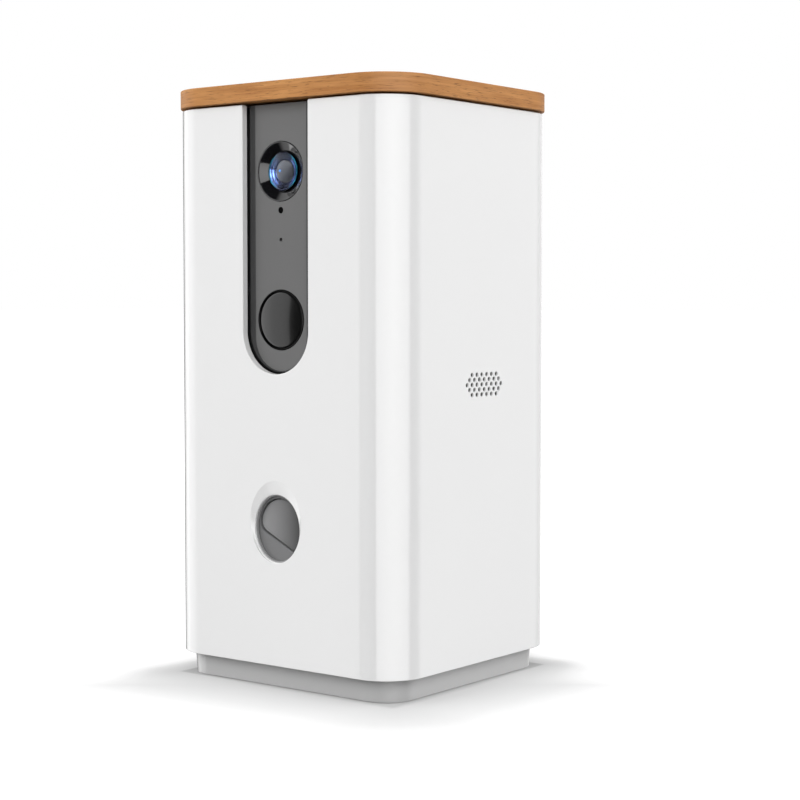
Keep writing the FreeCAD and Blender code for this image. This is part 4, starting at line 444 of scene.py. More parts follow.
class CaseSettings(bpy.types.PropertyGroup):
    """Housing and plinth."""

    shell: colour("Shell", "Colour of the moulded housing", (0.86, 0.86, 0.86))
    # The plinth's mid grey, darker than the white shell, is painted shade under the housing's
    # overhang.
    plinth: colour("Plinth", "Colour of the plinth", (0.52, 0.52, 0.52))
    roughness: number("Roughness", "Roughness of the housing", 0.08, 0.0, 1.0)
    corner: length("Corner", "Radius of the housing's upright corners", 20)
    wall: length("Wall", "Thickness of the housing's walls", 3.2)
    edge: length("Edge round", "Round on the edges of the openings", 0.45)
    rim_round: length("Rim round", "Round on the housing's lower and upper edges", 0.4)
    lip: length("Lip", "Width of the lip under the housing", 12)
    lip_thickness: length("Lip thickness", "Thickness of that lip", 2.6)
    slot_half: length("Slot half width", "Half width of the camera strip's slot", 19.8)
    slot_centre: length("Slot round", "Height of the centre of the slot's round end", 166)
    mouth_width: length("Outlet width", "Width of the treat outlet", 27.3)
    mouth_tall: length("Outlet height", "Height of the treat outlet", 31.4)
    mouth_up: length("Outlet centre", "Height of the treat outlet's centre", 74.8)
    dish_width: length("Dish width", "Width of the dish round the outlet", 31)
    dish_tall: length("Dish height", "Height of the dish round the outlet", 38.4)
    dish_up: length("Dish centre", "Height of the dish's centre", 77.9)
    dish_depth: length("Dish depth", "Depth of the dish", 1.2)
    liner: length("Liner", "Thickness of the grey liner inside the outlet", 0.5)
    grille_up: length("Grille centre", "Height of the speaker grille's centre", 141.1)
    grille_back: length("Grille place", "Grille's centre behind the housing's middle",
                        middle_of("speaker_driver")[1])
    grille_pitch: length("Grille pitch", "Distance of the grille's holes in a row", 3.9)
    grille_row: length("Grille row", "Distance of the grille's rows", 2.32)
    grille_hole: length("Grille hole", "Diameter of the grille's holes", 2.1)


class LidSettings(bpy.types.PropertyGroup):
    """Bamboo lid."""

    light: colour("Light bamboo", "Lighter tone of the bamboo", (0.60, 0.28, 0.083))
    dark: colour("Dark bamboo", "Darker tone of the bamboo", (0.35, 0.13, 0.027))
    corner: length("Corner", "Radius of the lid's corners", 24.4)
    edge: length("Edge round", "Round on the lid's edges", 0.35)
    fibre: number("Fibre scale", "Fibres in a metre across the grain", 1300, 10, 5000)


class StripSettings(bpy.types.PropertyGroup):
    """Camera strip with its lens and button."""

    frame: colour("Frame", "Colour of the strip's frame", (0.032, 0.032, 0.033))
    face: colour("Face", "Colour of the strip's face", (0.135, 0.135, 0.135))
    bezel: colour("Bezel", "Colour of the ring round the lens", (0.006, 0.006, 0.007))
    # The coating and rim colours are painted in bands on the lens's rings, kept to the left
    # and right sides as painted reflection arcs.
    coating: colour("Coating", "Colour of the lens coating", (0.09, 0.14, 0.33))
    rim: colour("Lens rim", "Colour of the coating at the lens's rim", (0.03, 0.30, 0.42))
    button: colour("Button", "Colour of the button's cap", (0.006, 0.006, 0.006))
    lens_up: length("Lens centre", "Height of the lens's centre", middle_of("lens_bezel")[2])
    button_up: length("Button centre", "Height of the button's centre",
                      middle_of("touch_button")[2])


class InsideSettings(bpy.types.PropertyGroup):
    """Treat path and mechanism."""

    # The paddle's colour is painted lighter at its left edge and darker at its right edge, as
    # painted light and shade.
    paddle: colour("Paddle", "Colour of the paddle in the outlet", (0.21, 0.21, 0.213))
    chamber: colour("Chamber", "Colour of the launch chamber", (0.18, 0.18, 0.183))
    board: colour("Boards", "Colour of the circuit boards", (0.02, 0.12, 0.055))


class StageSettings(bpy.types.PropertyGroup):
    """Camera, floor and lamps."""

    focal: number("Focal length", "Camera's focal length in millimetres", 82.147, 10, 400)
    floor: colour("Floor", "Colour of the floor", (0.45, 0.45, 0.45))
    front_lamp: number("Front lamp", "Power of the lamp on the front", 79, 0, 500)
    side_lamp: number("Side lamp", "Power of the lamp on the right side", 72, 0, 500)
    corner_lamp: number("Corner lamp", "Power of the lamp over the camera", 58, 0, 500)
    top_lamp: number("Top lamp", "Power of the lamp overhead", 7, 0, 500)
    corner_gloss: number("Corner gloss", "Power of the lamp seen in the corner", 31, 0, 500)
    front_gloss: number("Front gloss", "Power of the lamp seen in the front", 12, 0, 500)
    side_gloss: number("Side gloss", "Power of the lamp seen in the side", 1.7, 0, 500)
    ambient: number("Ambient", "Strength of the light from all round", 0.06, 0.0, 5.0)


# ---- stage ----


CAMERA_PLACE = (0.557265, -0.692927, 0.179571)
CAMERA_AZIMUTH, CAMERA_ELEVATION = 37.6765, 2.6562
CAMERA_SENSOR, CAMERA_SHIFT = 36, -0.01716
FLOOR_HALF = 30
LAMP_TARGET = Vector((0, 0, 0.14))

# Azimuth and elevation in degrees, distance and size in metres, spread in degrees, and
# whether gloss alone sees the lamp. Azimuths run from the front towards the right side.
LAMPS = {
    "front_lamp": (-40, 28, 3.5, (3.5, 2.2), 180, False),
    "side_lamp": (122, 28, 3.5, (3.5, 2.2), 180, False),
    "corner_lamp": (42, 30, 3.5, (2.5, 2.2), 180, False),
    "top_lamp": (40, 80, 1.6, (1.2, 1.2), 180, False),
    "corner_gloss": (54.5, 6, 1.5, (2.87, 1.6), 130, True),
    "front_gloss": (-66, 6, 1.5, (1.82, 1.6), 180, True),
    "side_gloss": (146.5, 6, 1.5, (0.55, 1.6), 180, True),
}

# Level directions to the white backdrop behind the object and to the left of it, and how
# far to the left the middle of its dark panel stands and half of it reaches, as sines.
BACKDROP_WAY = (-0.61, 0.79, 0.0)
LEFT_WAY = (-0.79, -0.61, 0.0)
PANEL_MIDDLE, PANEL_HALF = 0.23, 0.25

# Glow of the floor over the distance from the plinth, in reaches, and how much more its
# distance counts behind the object than in front. Its weak start near the plinth is a painted
# shadow round the object, widest in front.
FLOOR_REACH = 0.4
PAINTED_SHADOW_GLOW = ((0.0, 0.12), (0.01, 0.28), (0.055, 0.35), (0.0875, 0.42), (0.1125, 0.51),
              (0.15, 0.64), (0.225, 0.78), (0.5, 1.0))
SHADOW_SQUEEZE = 2.6


def way_to(azimuth, elevation):
    """Direction to an azimuth and an elevation in degrees."""
    turn, rise = math.radians(azimuth), math.radians(elevation)
    return Vector((math.sin(turn) * math.cos(rise), -math.cos(turn) * math.cos(rise),
                   math.sin(rise)))


def lamp(name, power, azimuth, elevation, distance, size, spread, gloss):
    """Rectangular lamp that points at the object; one for gloss adds its reflection alone."""
    light = bpy.data.lights.new(name, "AREA")
    light.shape = "RECTANGLE"
    light.size, light.size_y = size
    light.energy = power
    light.spread = math.radians(spread)
    carrier = add_object(name, light)
    way = way_to(azimuth, elevation)
    carrier.location = LAMP_TARGET + way * distance
    carrier.rotation_euler = (-way).to_track_quat("-Z", "Y").to_euler()
    carrier.visible_glossy = gloss
    carrier.visible_diffuse = not gloss


def backdrop_light(tree, ambient):
    """World that is white to the camera and through glass, and a plain grey as light.

    Gloss sees the white backdrop behind the object, with a dark panel in its left half that
    edges the object's left corner, and the dark room in front of it.
    """
    tree.nodes.clear()
    sky = Nodes(tree)
    seen, through, gloss = (sky.node("LightPath", output=f"Is {kind} Ray")
                            for kind in ("Camera", "Transmission", "Glossy"))
    way = sky.node("TexCoord", output="Generated")
    sweep = sky.swept(sky.dot(way, BACKDROP_WAY), -0.1, 0.1)
    panel = sky.maths("COMPARE", sky.dot(way, LEFT_WAY), PANEL_MIDDLE, PANEL_HALF)
    mirrored = gloss * (sweep - panel).at_least(0.0)
    strength = seen.at_least(through).at_least(mirrored).at_least(ambient - gloss)
    background = sky.node("Background", None, {"Color": (1, 1, 1), "Strength": strength})
    output = tree.nodes.new("ShaderNodeOutputWorld")
    tree.links.new(background.socket, output.inputs["Surface"])


class PETCAM_OT_stage(bpy.types.Operator):
    """Floor, lamps, backdrop and camera"""

    bl_idname = "petcam.stage"
    bl_label = "Stage"

    def execute(self, context):
        scene, settings = context.scene, context.scene.petcam_stage
        mesh = bpy.data.meshes.new("studio_floor")
        corners = [(x * FLOOR_HALF, y * FLOOR_HALF, 0)
                   for x, y in ((-1, -1), (1, -1), (1, 1), (-1, 1))]
        mesh.from_pydata(corners, [], [(0, 1, 2, 3)])
        mesh.materials.append(self.floor_finish(tuple(settings.floor)))
        ground = add_object("studio_floor", mesh)
        ground.visible_glossy = False
        for name, place in LAMPS.items():
            lamp(name, getattr(settings, name), *place)
        scene.world = scene.world or bpy.data.worlds.new("studio")
        scene.world.use_nodes = True
        backdrop_light(scene.world.node_tree, settings.ambient)
        scene.view_settings.view_transform = "Standard"
        self.aim_camera(scene, settings.focal)
        return {"FINISHED"}

    def floor_finish(self, color):
        """Pale floor that keeps the object's shadow and glows white further away.

        Its emission grows with the distance from the plinth's sides, so that it paints a
        shadow round the object on top of the real one. It grows faster behind the object and
        beside it, so that the painted shadow is widest in front.
        """
        finish = Finish("studio_floor", base_color=color, roughness=0.7,
                        specular_ior_level=0.0)
        seen = finish.node("LightPath", output="Is Camera Ray")
        flat = finish.vector("ABSOLUTE", finish.place)
        beyond = finish.vector("SUBTRACT", flat, (*box_of("base_plinth")[1][:2], 0))
        clear = finish.vector("MAXIMUM", beyond, (0, 0, 0))
        away = finish.vector("LENGTH", clear, output="Value")
        behind = finish.dot(finish.place, BACKDROP_WAY)
        # Behind and beside the object the painted shadow is squeezed narrower.
        side = finish.greys(0.3 - behind * 8, ((0.1, 1.0), (0.62, 0.0)))
        narrow = 1 + SHADOW_SQUEEZE * side
        # Painted shadow: weak emission near the plinth, full white far away.
        painted_shadow_glow = finish.greys(away * narrow / FLOOR_REACH, PAINTED_SHADOW_GLOW)
        finish.dress(emission_color=seen * painted_shadow_glow, emission_strength=1.0)
        return finish.material

    def aim_camera(self, scene, focal):
        """Camera at its fitted place and turn, looking down a little."""
        camera = add_object("camera", bpy.data.cameras.new("camera"))
        camera.data.sensor_width = CAMERA_SENSOR
        camera.data.lens = focal
        camera.data.clip_start, camera.data.clip_end = 0.05, 100
        camera.data.shift_y = CAMERA_SHIFT
        camera.location = CAMERA_PLACE
        camera.rotation_mode = "QUATERNION"
        way = way_to(CAMERA_AZIMUTH, CAMERA_ELEVATION)
        camera.rotation_quaternion = (-way).to_track_quat("-Z", "Y")
        scene.camera = camera


# ---- case ----


# Holes in each row of the grille, and the rounds of the openings in metres.
GRILLE_COUNTS = (6, 7, 8, 7, 6)
GRILLE_ROUND, DISH_ROUND, MOUTH_ROUND, SOCKET_ROUND = 0.0001, 0.00015, 0.0005, 0.0003
SOCKET_ROOM, SOCKET_CORNER = 0.0015, 0.002


class Wall:
    """A flat side of the housing: flat points are along and up, with a depth into it."""

    def __init__(self, start, along, inward):
        self.start = np.array(start, float)
        self.along = np.array(along, float)
        self.inward = np.array(inward, float)

    def at(self, depth):
        """A function that puts flat points at a depth in the wall."""
        def place(flat):
            flat = np.asarray(flat, float)
            return (self.start + flat[:, :1] * self.along + depth * self.inward
                    + flat[:, 1:] * np.array((0, 0, 1.0)))
        return place

    def tube(self, surface, loops, around=True):
        """Join loops of flat points, each with its own depth, into the side of an opening."""
        surface.grid([self.at(depth)(loop) for loop, depth in loops], around=around)


class PETCAM_OT_case(bpy.types.Operator):
    """Moulded housing with its openings, the outlet's liner and the grille's foam"""

    bl_idname = "petcam.case"
    bl_label = "Case"

    def execute(self, context):
        self.settings = context.scene.petcam_case
        self.low, self.high = box_of("outer_housing")
        surface = Surface()
        self.skin(surface)
        half_x, half_y = self.high[0], self.high[1]
        front = Wall((0, -half_y, 0), (1, 0, 0), (0, 1, 0))
        right = Wall((half_x, 0, 0), (0, 1, 0), (-1, 0, 0))
        back = Wall((0, half_y, 0), (-1, 0, 0), (0, -1, 0))
        self.front_side(surface, front)
        mouths = [*edge_steps(GRILLE_ROUND, 2), (0, self.settings.wall)]
        self.plain_side(surface, right, half_y, self.grille_loops(mouths))
        self.plain_side(surface, back, half_x, [self.socket_loops()])
        finish = moulded("shell_white", tuple(self.settings.shell), self.settings.roughness,
                         coat_weight=0.35, coat_roughness=0.04, specular_ior_level=0.45,
                         mottling=0.006, texture=0.05)
        surface.make("housing_shell", "shell_white", "housing", finish, "outer_housing")
        self.liner(front, tuple(context.scene.petcam_inside.chamber))
        self.grille_foam(right)
        return {"FINISHED"}

    def liner(self, wall, color):
        """Grey sleeve inside the outlet, behind its white rim."""
        it = self.settings
        start, end, gap = it.dish_depth + 0.0006, it.wall - 0.0001, 0.00003
        section = ((gap, start), (it.liner, start), (it.liner, end), (gap, end), (gap, start))
        sleeve = Surface()
        wall.tube(sleeve, [(self.mouth(-inset), depth) for inset, depth in section])
        sleeve.make("outlet_liner", "chamber_grey", "housing",
                    moulded("outlet_grey", tint(color, 1.9), 0.3, 0.03))

    def skin(self, surface):
        """Walls, rims and lip: the housing's section carried round its plan."""
        it = self.settings
        low, high, edge = self.low[2], self.high[2], it.rim_round
        lower = [(grow, low + depth) for grow, depth in edge_steps(edge)]
        upper = [(depth, high - grow) for grow, depth in edge_steps(edge)]
        section = [*lower, *upper, (it.wall - edge, high), (it.wall, high - edge),
                   (it.wall, low + it.lip_thickness), (it.lip, low + it.lip_thickness),
                   (it.lip, low)]
        split = it.slot_half + it.edge
        half_x, half_y = self.high[0], self.high[1]
        plans = [rounded_plan(half_x - inset, half_y - inset, it.corner - inset,
                              extra=(-split, split)) for inset, _ in section]
        rows = np.stack([level_loop(plan, up) for plan, (_, up) in zip(plans, section)])
        # The right, back and front walls have openings, so they are made apart, and the
        # slot cuts the front's rim between the last two columns.
        outer, inner = len(lower) - 1, len(lower) + len(upper) + 1
        right_wall = (len(plans[0]) - 2) // 4 - 1
        back_wall = 2 * right_wall + 1
        keep = np.ones(rows.shape[:2], bool)
        for wall_row in (outer, inner):
            keep[wall_row, [right_wall, back_wall, -3, -2, -1]] = False
        keep[outer + 1:inner, -2] = False
        surface.grid(rows, over=True, keep=keep)
        for column in (-2, -1):
            surface.fill(rows[outer + 1:inner + 1, column])

    def slot(self, grow):
        """The slot's outline from its upper right end round to its upper left end."""
        it = self.settings
        half, top = it.slot_half + grow, self.high[2] - it.rim_round
        bow = arc((0, it.slot_centre), half, 0, -180, 48)
        return np.concatenate([[(half, top)], bow, [(-half, top)]])

    def mouth(self, grow):
        """The outlet's outline."""
        it = self.settings
        return ring((0, it.mouth_up), it.mouth_width / 2, it.mouth_tall / 2, 96, grow)

    def dish(self, grow):
        """The outline of the dish round the outlet."""
        it = self.settings
        return ring((0, it.dish_up), it.dish_width / 2, it.dish_tall / 2, 96, grow)

    def front_side(self, surface, wall):
        """Front wall with the slot, which is open at the top, and the outlet in its dish."""
        it = self.settings
        flat = self.high[0] - it.corner
        split = it.slot_half + it.edge
        top = self.high[2] - it.rim_round
        for depth, bottom, grow in ((0, self.low[2] + it.rim_round, it.edge),
                                    (it.wall, self.low[2] + it.lip_thickness, 0)):
            sides = [(-flat, bottom), (-split, bottom), (split, bottom), (flat, bottom),
                     (flat, top)]
            shoulder = [(split, top)] if grow == 0 else []
            outline = [*sides, *shoulder, *self.slot(grow),
                       *[(-x, up) for x, up in shoulder], (-flat, top)]
            hole = self.dish(DISH_ROUND) if depth == 0 else self.mouth(0)
            surface.holed(np.array(outline), [hole], wall.at(depth))
        sweep = [*((self.slot(grow), depth) for grow, depth in edge_steps(it.edge)),
                 (self.slot(0), it.wall)]
        wall.tube(surface, sweep, around=False)
        for end, side in ((0, 1), (-1, -1)):
            ledge = [wall.at(depth)(loop[[end]])[0] for loop, depth in sweep]
            ledge.append(wall.at(it.wall)(np.array([(side * split, top)]))[0])
            surface.fill(ledge)
        slope = [(self.dish(DISH_ROUND), 0), (self.dish(-DISH_ROUND), 0.00003)]
        rim = [(self.mouth(grow), it.dish_depth - MOUTH_ROUND * 0.6 + depth)
               for grow, depth in edge_steps(MOUTH_ROUND)]
        wall.tube(surface, [*slope, *rim, (self.mouth(0), it.wall)])

    def grille_loops(self, steps):
        """Loops of each hole of the grille, by growth and depth, row by row from below."""
        it = self.settings
        radius = it.grille_hole / 2
        centres = [(it.grille_back + place, it.grille_up + it.grille_row * row)
                   for row, count in enumerate(GRILLE_COUNTS, start=-(len(GRILLE_COUNTS) // 2))
                   for place in (np.arange(count) - (count - 1) / 2) * it.grille_pitch]
        return [[(ring(centre, radius, radius, 16, grow), depth) for grow, depth in steps]
                for centre in centres]

    def grille_foam(self, wall):
        """Dark foam that fills the grille's holes just behind their mouths: speaker foam, set
        shallow so that it also darkens the holes as painted shade.
        """
        foam = Surface()
        gap, start, end = 0.00002, 0.0007, 0.0012
        for front, back in self.grille_loops([(-gap, start), (-gap, end)]):
            wall.tube(foam, (front, back))
            for loop, depth in (front, back):
                foam.fill(wall.at(depth)(loop))
        foam.make("grille_foam", "foam_black", "housing",
                  rubbery("grille_foam", (0.02, 0.02, 0.02)))

    def socket_loops(self):
        """Loops of the opening over the power socket."""
        low, high = box_of("power_inlet")
        half_x, _, half_z = (high - low) / 2 + SOCKET_ROOM
        middle = (low[2] + high[2]) / 2
        return [(rounded_plan(half_x + grow, half_z + grow, SOCKET_CORNER + grow, 6)
                 + (0, middle), depth)
                for grow, depth in [*edge_steps(SOCKET_ROUND), (0, self.settings.wall)]]

    def plain_side(self, surface, wall, half, holes):
        """A straight side with its holes, outside and inside."""
        it = self.settings
        flat = half - it.corner
        top = self.high[2] - it.rim_round
        for depth, bottom, which in ((0, self.low[2] + it.rim_round, 0),
                                     (it.wall, self.low[2] + it.lip_thickness, -1)):
            outline = np.array([(-flat, bottom), (flat, bottom), (flat, top), (-flat, top)])
            surface.holed(outline, [hole[which][0] for hole in holes], wall.at(depth))
        for hole in holes:
            wall.tube(surface, hole)


# ---- lid ----


GRAIN_RADIUS = 0.09  # an angle round the edge times this is a length along the grain
TOP_APART = 1  # keeps the grain of the top apart from that of the edge


def grain_map(mesh):
    """Map of the grain: round the edge by angle and height, and straight over the top."""
    layer = mesh.uv_layers.new(name="grain")
    corners = np.empty(len(mesh.loops), np.int64)
    mesh.loops.foreach_get("vertex_index", corners)
    places = np.empty(len(mesh.vertices) * 3)
    mesh.vertices.foreach_get("co", places)
    places = places.reshape(-1, 3)[corners]
    normals = np.empty(len(mesh.polygons) * 3)
    mesh.polygons.foreach_get("normal", normals)
    sizes = np.empty(len(mesh.polygons), np.int64)
    mesh.polygons.foreach_get("loop_total", sizes)
    level = np.repeat(np.abs(normals.reshape(-1, 3)[:, 2]) > 0.9, sizes)
    round_edge = np.arctan2(places[:, 0], -places[:, 1]) * GRAIN_RADIUS
    across = np.where(level, places[:, 0], round_edge)
    up = np.where(level, places[:, 1] + TOP_APART, places[:, 2])
    layer.data.foreach_set("uv", np.stack([across, up], -1).ravel())


class PETCAM_OT_lid(bpy.types.Operator):
    """Bamboo slab of the lid"""

    bl_idname = "petcam.lid"
    bl_label = "Lid"

    def execute(self, context):
        it = context.scene.petcam_lid
        low, high = box_of("bamboo_lid")
        lower = [(grow, low[2] + depth) for grow, depth in edge_steps(it.edge, 5)]
        upper = [(depth, high[2] - grow) for grow, depth in edge_steps(it.edge, 5)]
        rows = np.stack([level_loop(rounded_plan(high[0] - inset, high[1] - inset,
                                                 it.corner - inset, 20), up)
                         for inset, up in [*lower, *upper]])
        slab = Surface().grid(rows).fill(rows[0]).fill(rows[-1])
        slab.make("lid_slab", "bamboo", "lid",
                  bamboo("bamboo", tuple(it.light), tuple(it.dark), it.fibre),
                  "bamboo_lid", uv=grain_map)
        return {"FINISHED"}


# ---- camera strip ----


# Profiles of the parts turned round the lens's and the button's axes: radius, and depth
# behind the strip's face, in millimetres.
BEZEL_PROFILE = (
    (13.86, 0.25), (13.7, 0.08), (13.4, 0.0), (13.2, 0.05),  # rounded outer edge
    (9.5, 2.15), (9.25, 2.3), (9.1, 2.5), (9.1, 4.2),  # dish down to the glass
    (7.5, 4.2), (7.5, 5.6), (11, 5.6), (11, 2.8), (13.86, 2.0))  # back
GLASS_RIM, GLASS_CROWN, GLASS_PROUD = 8.68, 1.9, 0.4
GLASS_THIN, GLASS_SWELL = 0.04, 0.4
RINGS_OUTER, RINGS_INNER, RINGS_START = 8.7, 5.1, 1.66
RIDGE_WIDTH, RIDGE_HEIGHT, RIDGE_SLOPE = 1.2, 0.28, 0.49
RINGS_SEAT = ((8.95, 1.7), (8.85, 1.5), (8.76, 1.56))
RINGS_BACK = 4.05
ELEMENT_RADIUS, ELEMENT_FRONT, ELEMENT_BOW, ELEMENT_BACK = 5.15, 2.75, 0.016, 4.0
CAP_RADIUS, CAP_RIM, CAP_DOME = 12.2, 0.1, 0.6
CAP_EDGE = ((12.5, 0.15), (12.72, 0.27), (12.8, 0.5))
CAP_FLANGE, CAP_FLANGE_THICK = 14.1, 1.2
CAP_WELL, CAP_STEM, CAP_FLOOR = 11.4, 2.5, 2.2
BUTTON_RING_PROFILE = (
    (13.1, 0.35), (13.16, 0.0), (13.3, -0.14), (13.5, -0.19), (13.75, -0.16),
    (13.92, -0.02), (14.0, 0.15), (14.0, 1.8), (13.1, 1.8))

# Sizes in the lens's finishes, in metres: the reach of the coating's bands, the width over
# which the inner element's painted shade runs, and the place of the painted blue highlight dot
# on it.
COATING_REACH = 0.0088
ELEMENT_WIDTH = 0.0104
PAINTED_GLINT_RIGHT, PAINTED_GLINT_UP = -0.003, 0.0005


class PETCAM_OT_strip(bpy.types.Operator):
    """Ring, glass, coated rings and inner element of the lens, and the button with its ring"""

    bl_idname = "petcam.strip"
    bl_label = "Camera strip"

    def execute(self, context):
        it = context.scene.petcam_strip
        face = box_of("face_panel")[0][1]
        self.lens(it, face)
        self.coated_rings(it, face)
        self.inner_element(it, face)
        self.button(it, face)
        return {"FINISHED"}

    def lens(self, it, face):
        """Dished ring, and a glass whose front is part of a ball and whose middle is thick."""
        bezel = Finish("bezel_black", base_color=tuple(it.bezel), specular_ior_level=0.5,
                       coat_weight=0.5, coat_roughness=0.03)
        speckle = bezel.noise(2500, 3)
        bezel.dress(roughness=0.05 + 0.05 * speckle)
        bezel.bump(speckle, 0.05, 0.00002)
        turned(BEZEL_PROFILE, face, it.lens_up, 128).make(
            "lens_ring", "bezel_black", "housing", bezel.material, "lens_bezel")
        ball = (GLASS_RIM ** 2 + GLASS_CROWN ** 2) / (2 * GLASS_CROWN)
        radii = np.linspace(0, GLASS_RIM, 17)
        bow = ball - GLASS_PROUD - np.sqrt(ball * ball - radii * radii)
        hollow = bow + GLASS_THIN + GLASS_SWELL * (1 - (radii / GLASS_RIM) ** 2)
        glass = Finish("lens_glass", base_color=(0.92, 0.95, 1.0), transmission_weight=1.0,
                       ior=1.12, roughness=0.0)
        glass.bump(glass.noise(350, 2), 0.01, 0.00001)
        outline = [*zip(radii, bow), *reversed(list(zip(radii * 0.995, hollow)))]
        turned(outline, face, it.lens_up).make(
            "lens_dome", "lens_glass", "housing", glass.material, "front_lens")

    def coated_rings(self, it, face):
        """Ridges behind the glass: a row of half sine waves on a cone, in bands of coating
        colour with light bands of painted highlight, painted only towards the left and right
        sides as painted reflection arcs.
        """
        radii = np.linspace(RINGS_OUTER, RINGS_INNER, 91)
        ridges = np.abs(np.sin((RINGS_OUTER - radii) * math.pi / RIDGE_WIDTH))
        depth = RINGS_START + (RINGS_OUTER - radii) * RIDGE_SLOPE - RIDGE_HEIGHT * ridges
        outline = [*RINGS_SEAT, *zip(radii, depth), (RINGS_INNER, RINGS_BACK),
                   (RINGS_SEAT[0][0], RINGS_BACK)]
        finish = Finish("lens_coating", metallic=1.0)
        reach = self.radius(finish, it.lens_up)
        coating, rim = tuple(it.coating), tuple(it.rim)
        navy, coat, painted_highlight = (tint(coating, factor) for factor in (0.04, 0.4, 1.7))
        # Bands by radius: the coating's colours, with light bands of painted highlight between
        # them.
        tones_with_painted_light = finish.ramp(reach / COATING_REACH, (
            (0.58, navy), (0.61, tint(coat, 1.3)), (0.65, navy), (0.70, coat),
            (0.755, painted_highlight), (0.80, coat), (0.845, navy), (0.88, painted_highlight), (0.91, coat),
            (0.945, tint(rim, 0.7)), (0.975, tint(rim, 0.25)), (0.994, navy)))
        # Painted reflection: the bands show only towards the left and right sides, and the top
        # and bottom are painted near black.
        painted_arc_sides = finish.greys((finish.part("X") / reach) ** 2, ((0.15, 0.0), (0.55, 1.0)))
        finish.dress(base_color=finish.mix(painted_arc_sides, (0.016, 0.017, 0.026), tones_with_painted_light),
                     roughness=0.05 + 0.05 * finish.noise(1500, 2))
        turned(outline, face, it.lens_up, 128).make(
            "lens_rings", "lens_glass", "housing", finish.material)

    def inner_element(self, it, face):
        """Dark element with a painted blue highlight dot and painted shade that darkens it to
        the right; its depth grows by the square of the radius.
        """
        finish = Finish("lens_inner", specular_ior_level=0.25)
        # Painted shade: the element's grey is painted darker towards its right side.
        tones_with_painted_light = finish.ramp(finish.part("X") / ELEMENT_WIDTH + 0.5, (
            (0.0, (0.075, 0.075, 0.08)), (0.45, (0.05, 0.05, 0.053)),
            (1.0, (0.012, 0.012, 0.014))))
        # Painted highlight: a small blue dot painted into the colour, standing in for a
        # reflection.
        painted_glint = finish.greys(self.radius(finish, it.lens_up + PAINTED_GLINT_UP, PAINTED_GLINT_RIGHT) * 1000,
                             ((0.35, 1.0), (0.6, 0.0)))
        finish.dress(base_color=finish.mix(painted_glint, tones_with_painted_light, (0.02, 0.3, 0.9)),
                     roughness=0.28 + 0.06 * finish.noise(1200, 2))
        radii = np.linspace(0, ELEMENT_RADIUS, 14)
        bow = ELEMENT_FRONT + radii * radii * ELEMENT_BOW
        outline = [*zip(radii, bow), (ELEMENT_RADIUS, ELEMENT_BACK), (0, ELEMENT_BACK)]
        turned(outline, face, it.lens_up).make(
            "lens_element", "lens_glass", "housing", finish.material)

    def radius(self, finish, up, right=0.0):
        """Distance from an axis at a height and to the right: the root of two squares' sum."""
        across, height = finish.part("X") - right, finish.part("Z") - up
        return (across * across + height * height) ** 0.5

    def button(self, it, face):
        """Cap domed by the square of the radius, with a round edge, and a ring round it."""
        back = (box_of("touch_button")[1][1] - face) / MM
        flange = back - CAP_FLANGE_THICK
        radii = np.linspace(0, CAP_RADIUS, 13)
        domed = CAP_RIM - CAP_DOME * (1 - (radii / CAP_RADIUS) ** 2)
        side = CAP_EDGE[-1][0]
        outline = [*zip(radii, domed), *CAP_EDGE, (side, flange), (CAP_FLANGE, flange),
                   (CAP_FLANGE, back), (CAP_WELL, back), (CAP_WELL, CAP_FLOOR),
                   (CAP_STEM, CAP_FLOOR), (CAP_STEM, flange), (0, flange)]
        color = tuple(it.button)
        cap = Finish("button_grey", specular_ior_level=0.38, coat_weight=0.42,
                     coat_roughness=0.05)
        spin = cap.noise(1400, 3)
        cap.dress(base_color=cap.mix(spin, tint(color, 0.94), tint(color, 1.06)),
                  roughness=0.12 + 0.06 * spin)
        cap.bump(spin, 0.08, 0.00003)
        turned(outline, face, it.button_up, 128).make(
            "button_cap", "button_grey", "button", cap.material, "touch_button")
        black = Finish("ring_black", base_color=(0.002, 0.002, 0.002), specular_ior_level=0.08)
        black.dress(roughness=0.16 + 0.08 * black.noise(1800, 2))
        turned(BUTTON_RING_PROFILE, face, it.button_up, 128).make(
            "button_surround", "ring_chrome", "housing", black.material, "button_ring")


# ---- finishes of the packed nodes ----


# The paddle's painted shade runs across twice this half width, from its left edge to its right
# edge.
PADDLE_SHADE_HALF = 0.0137  # half the width over which the paddle's grey deepens


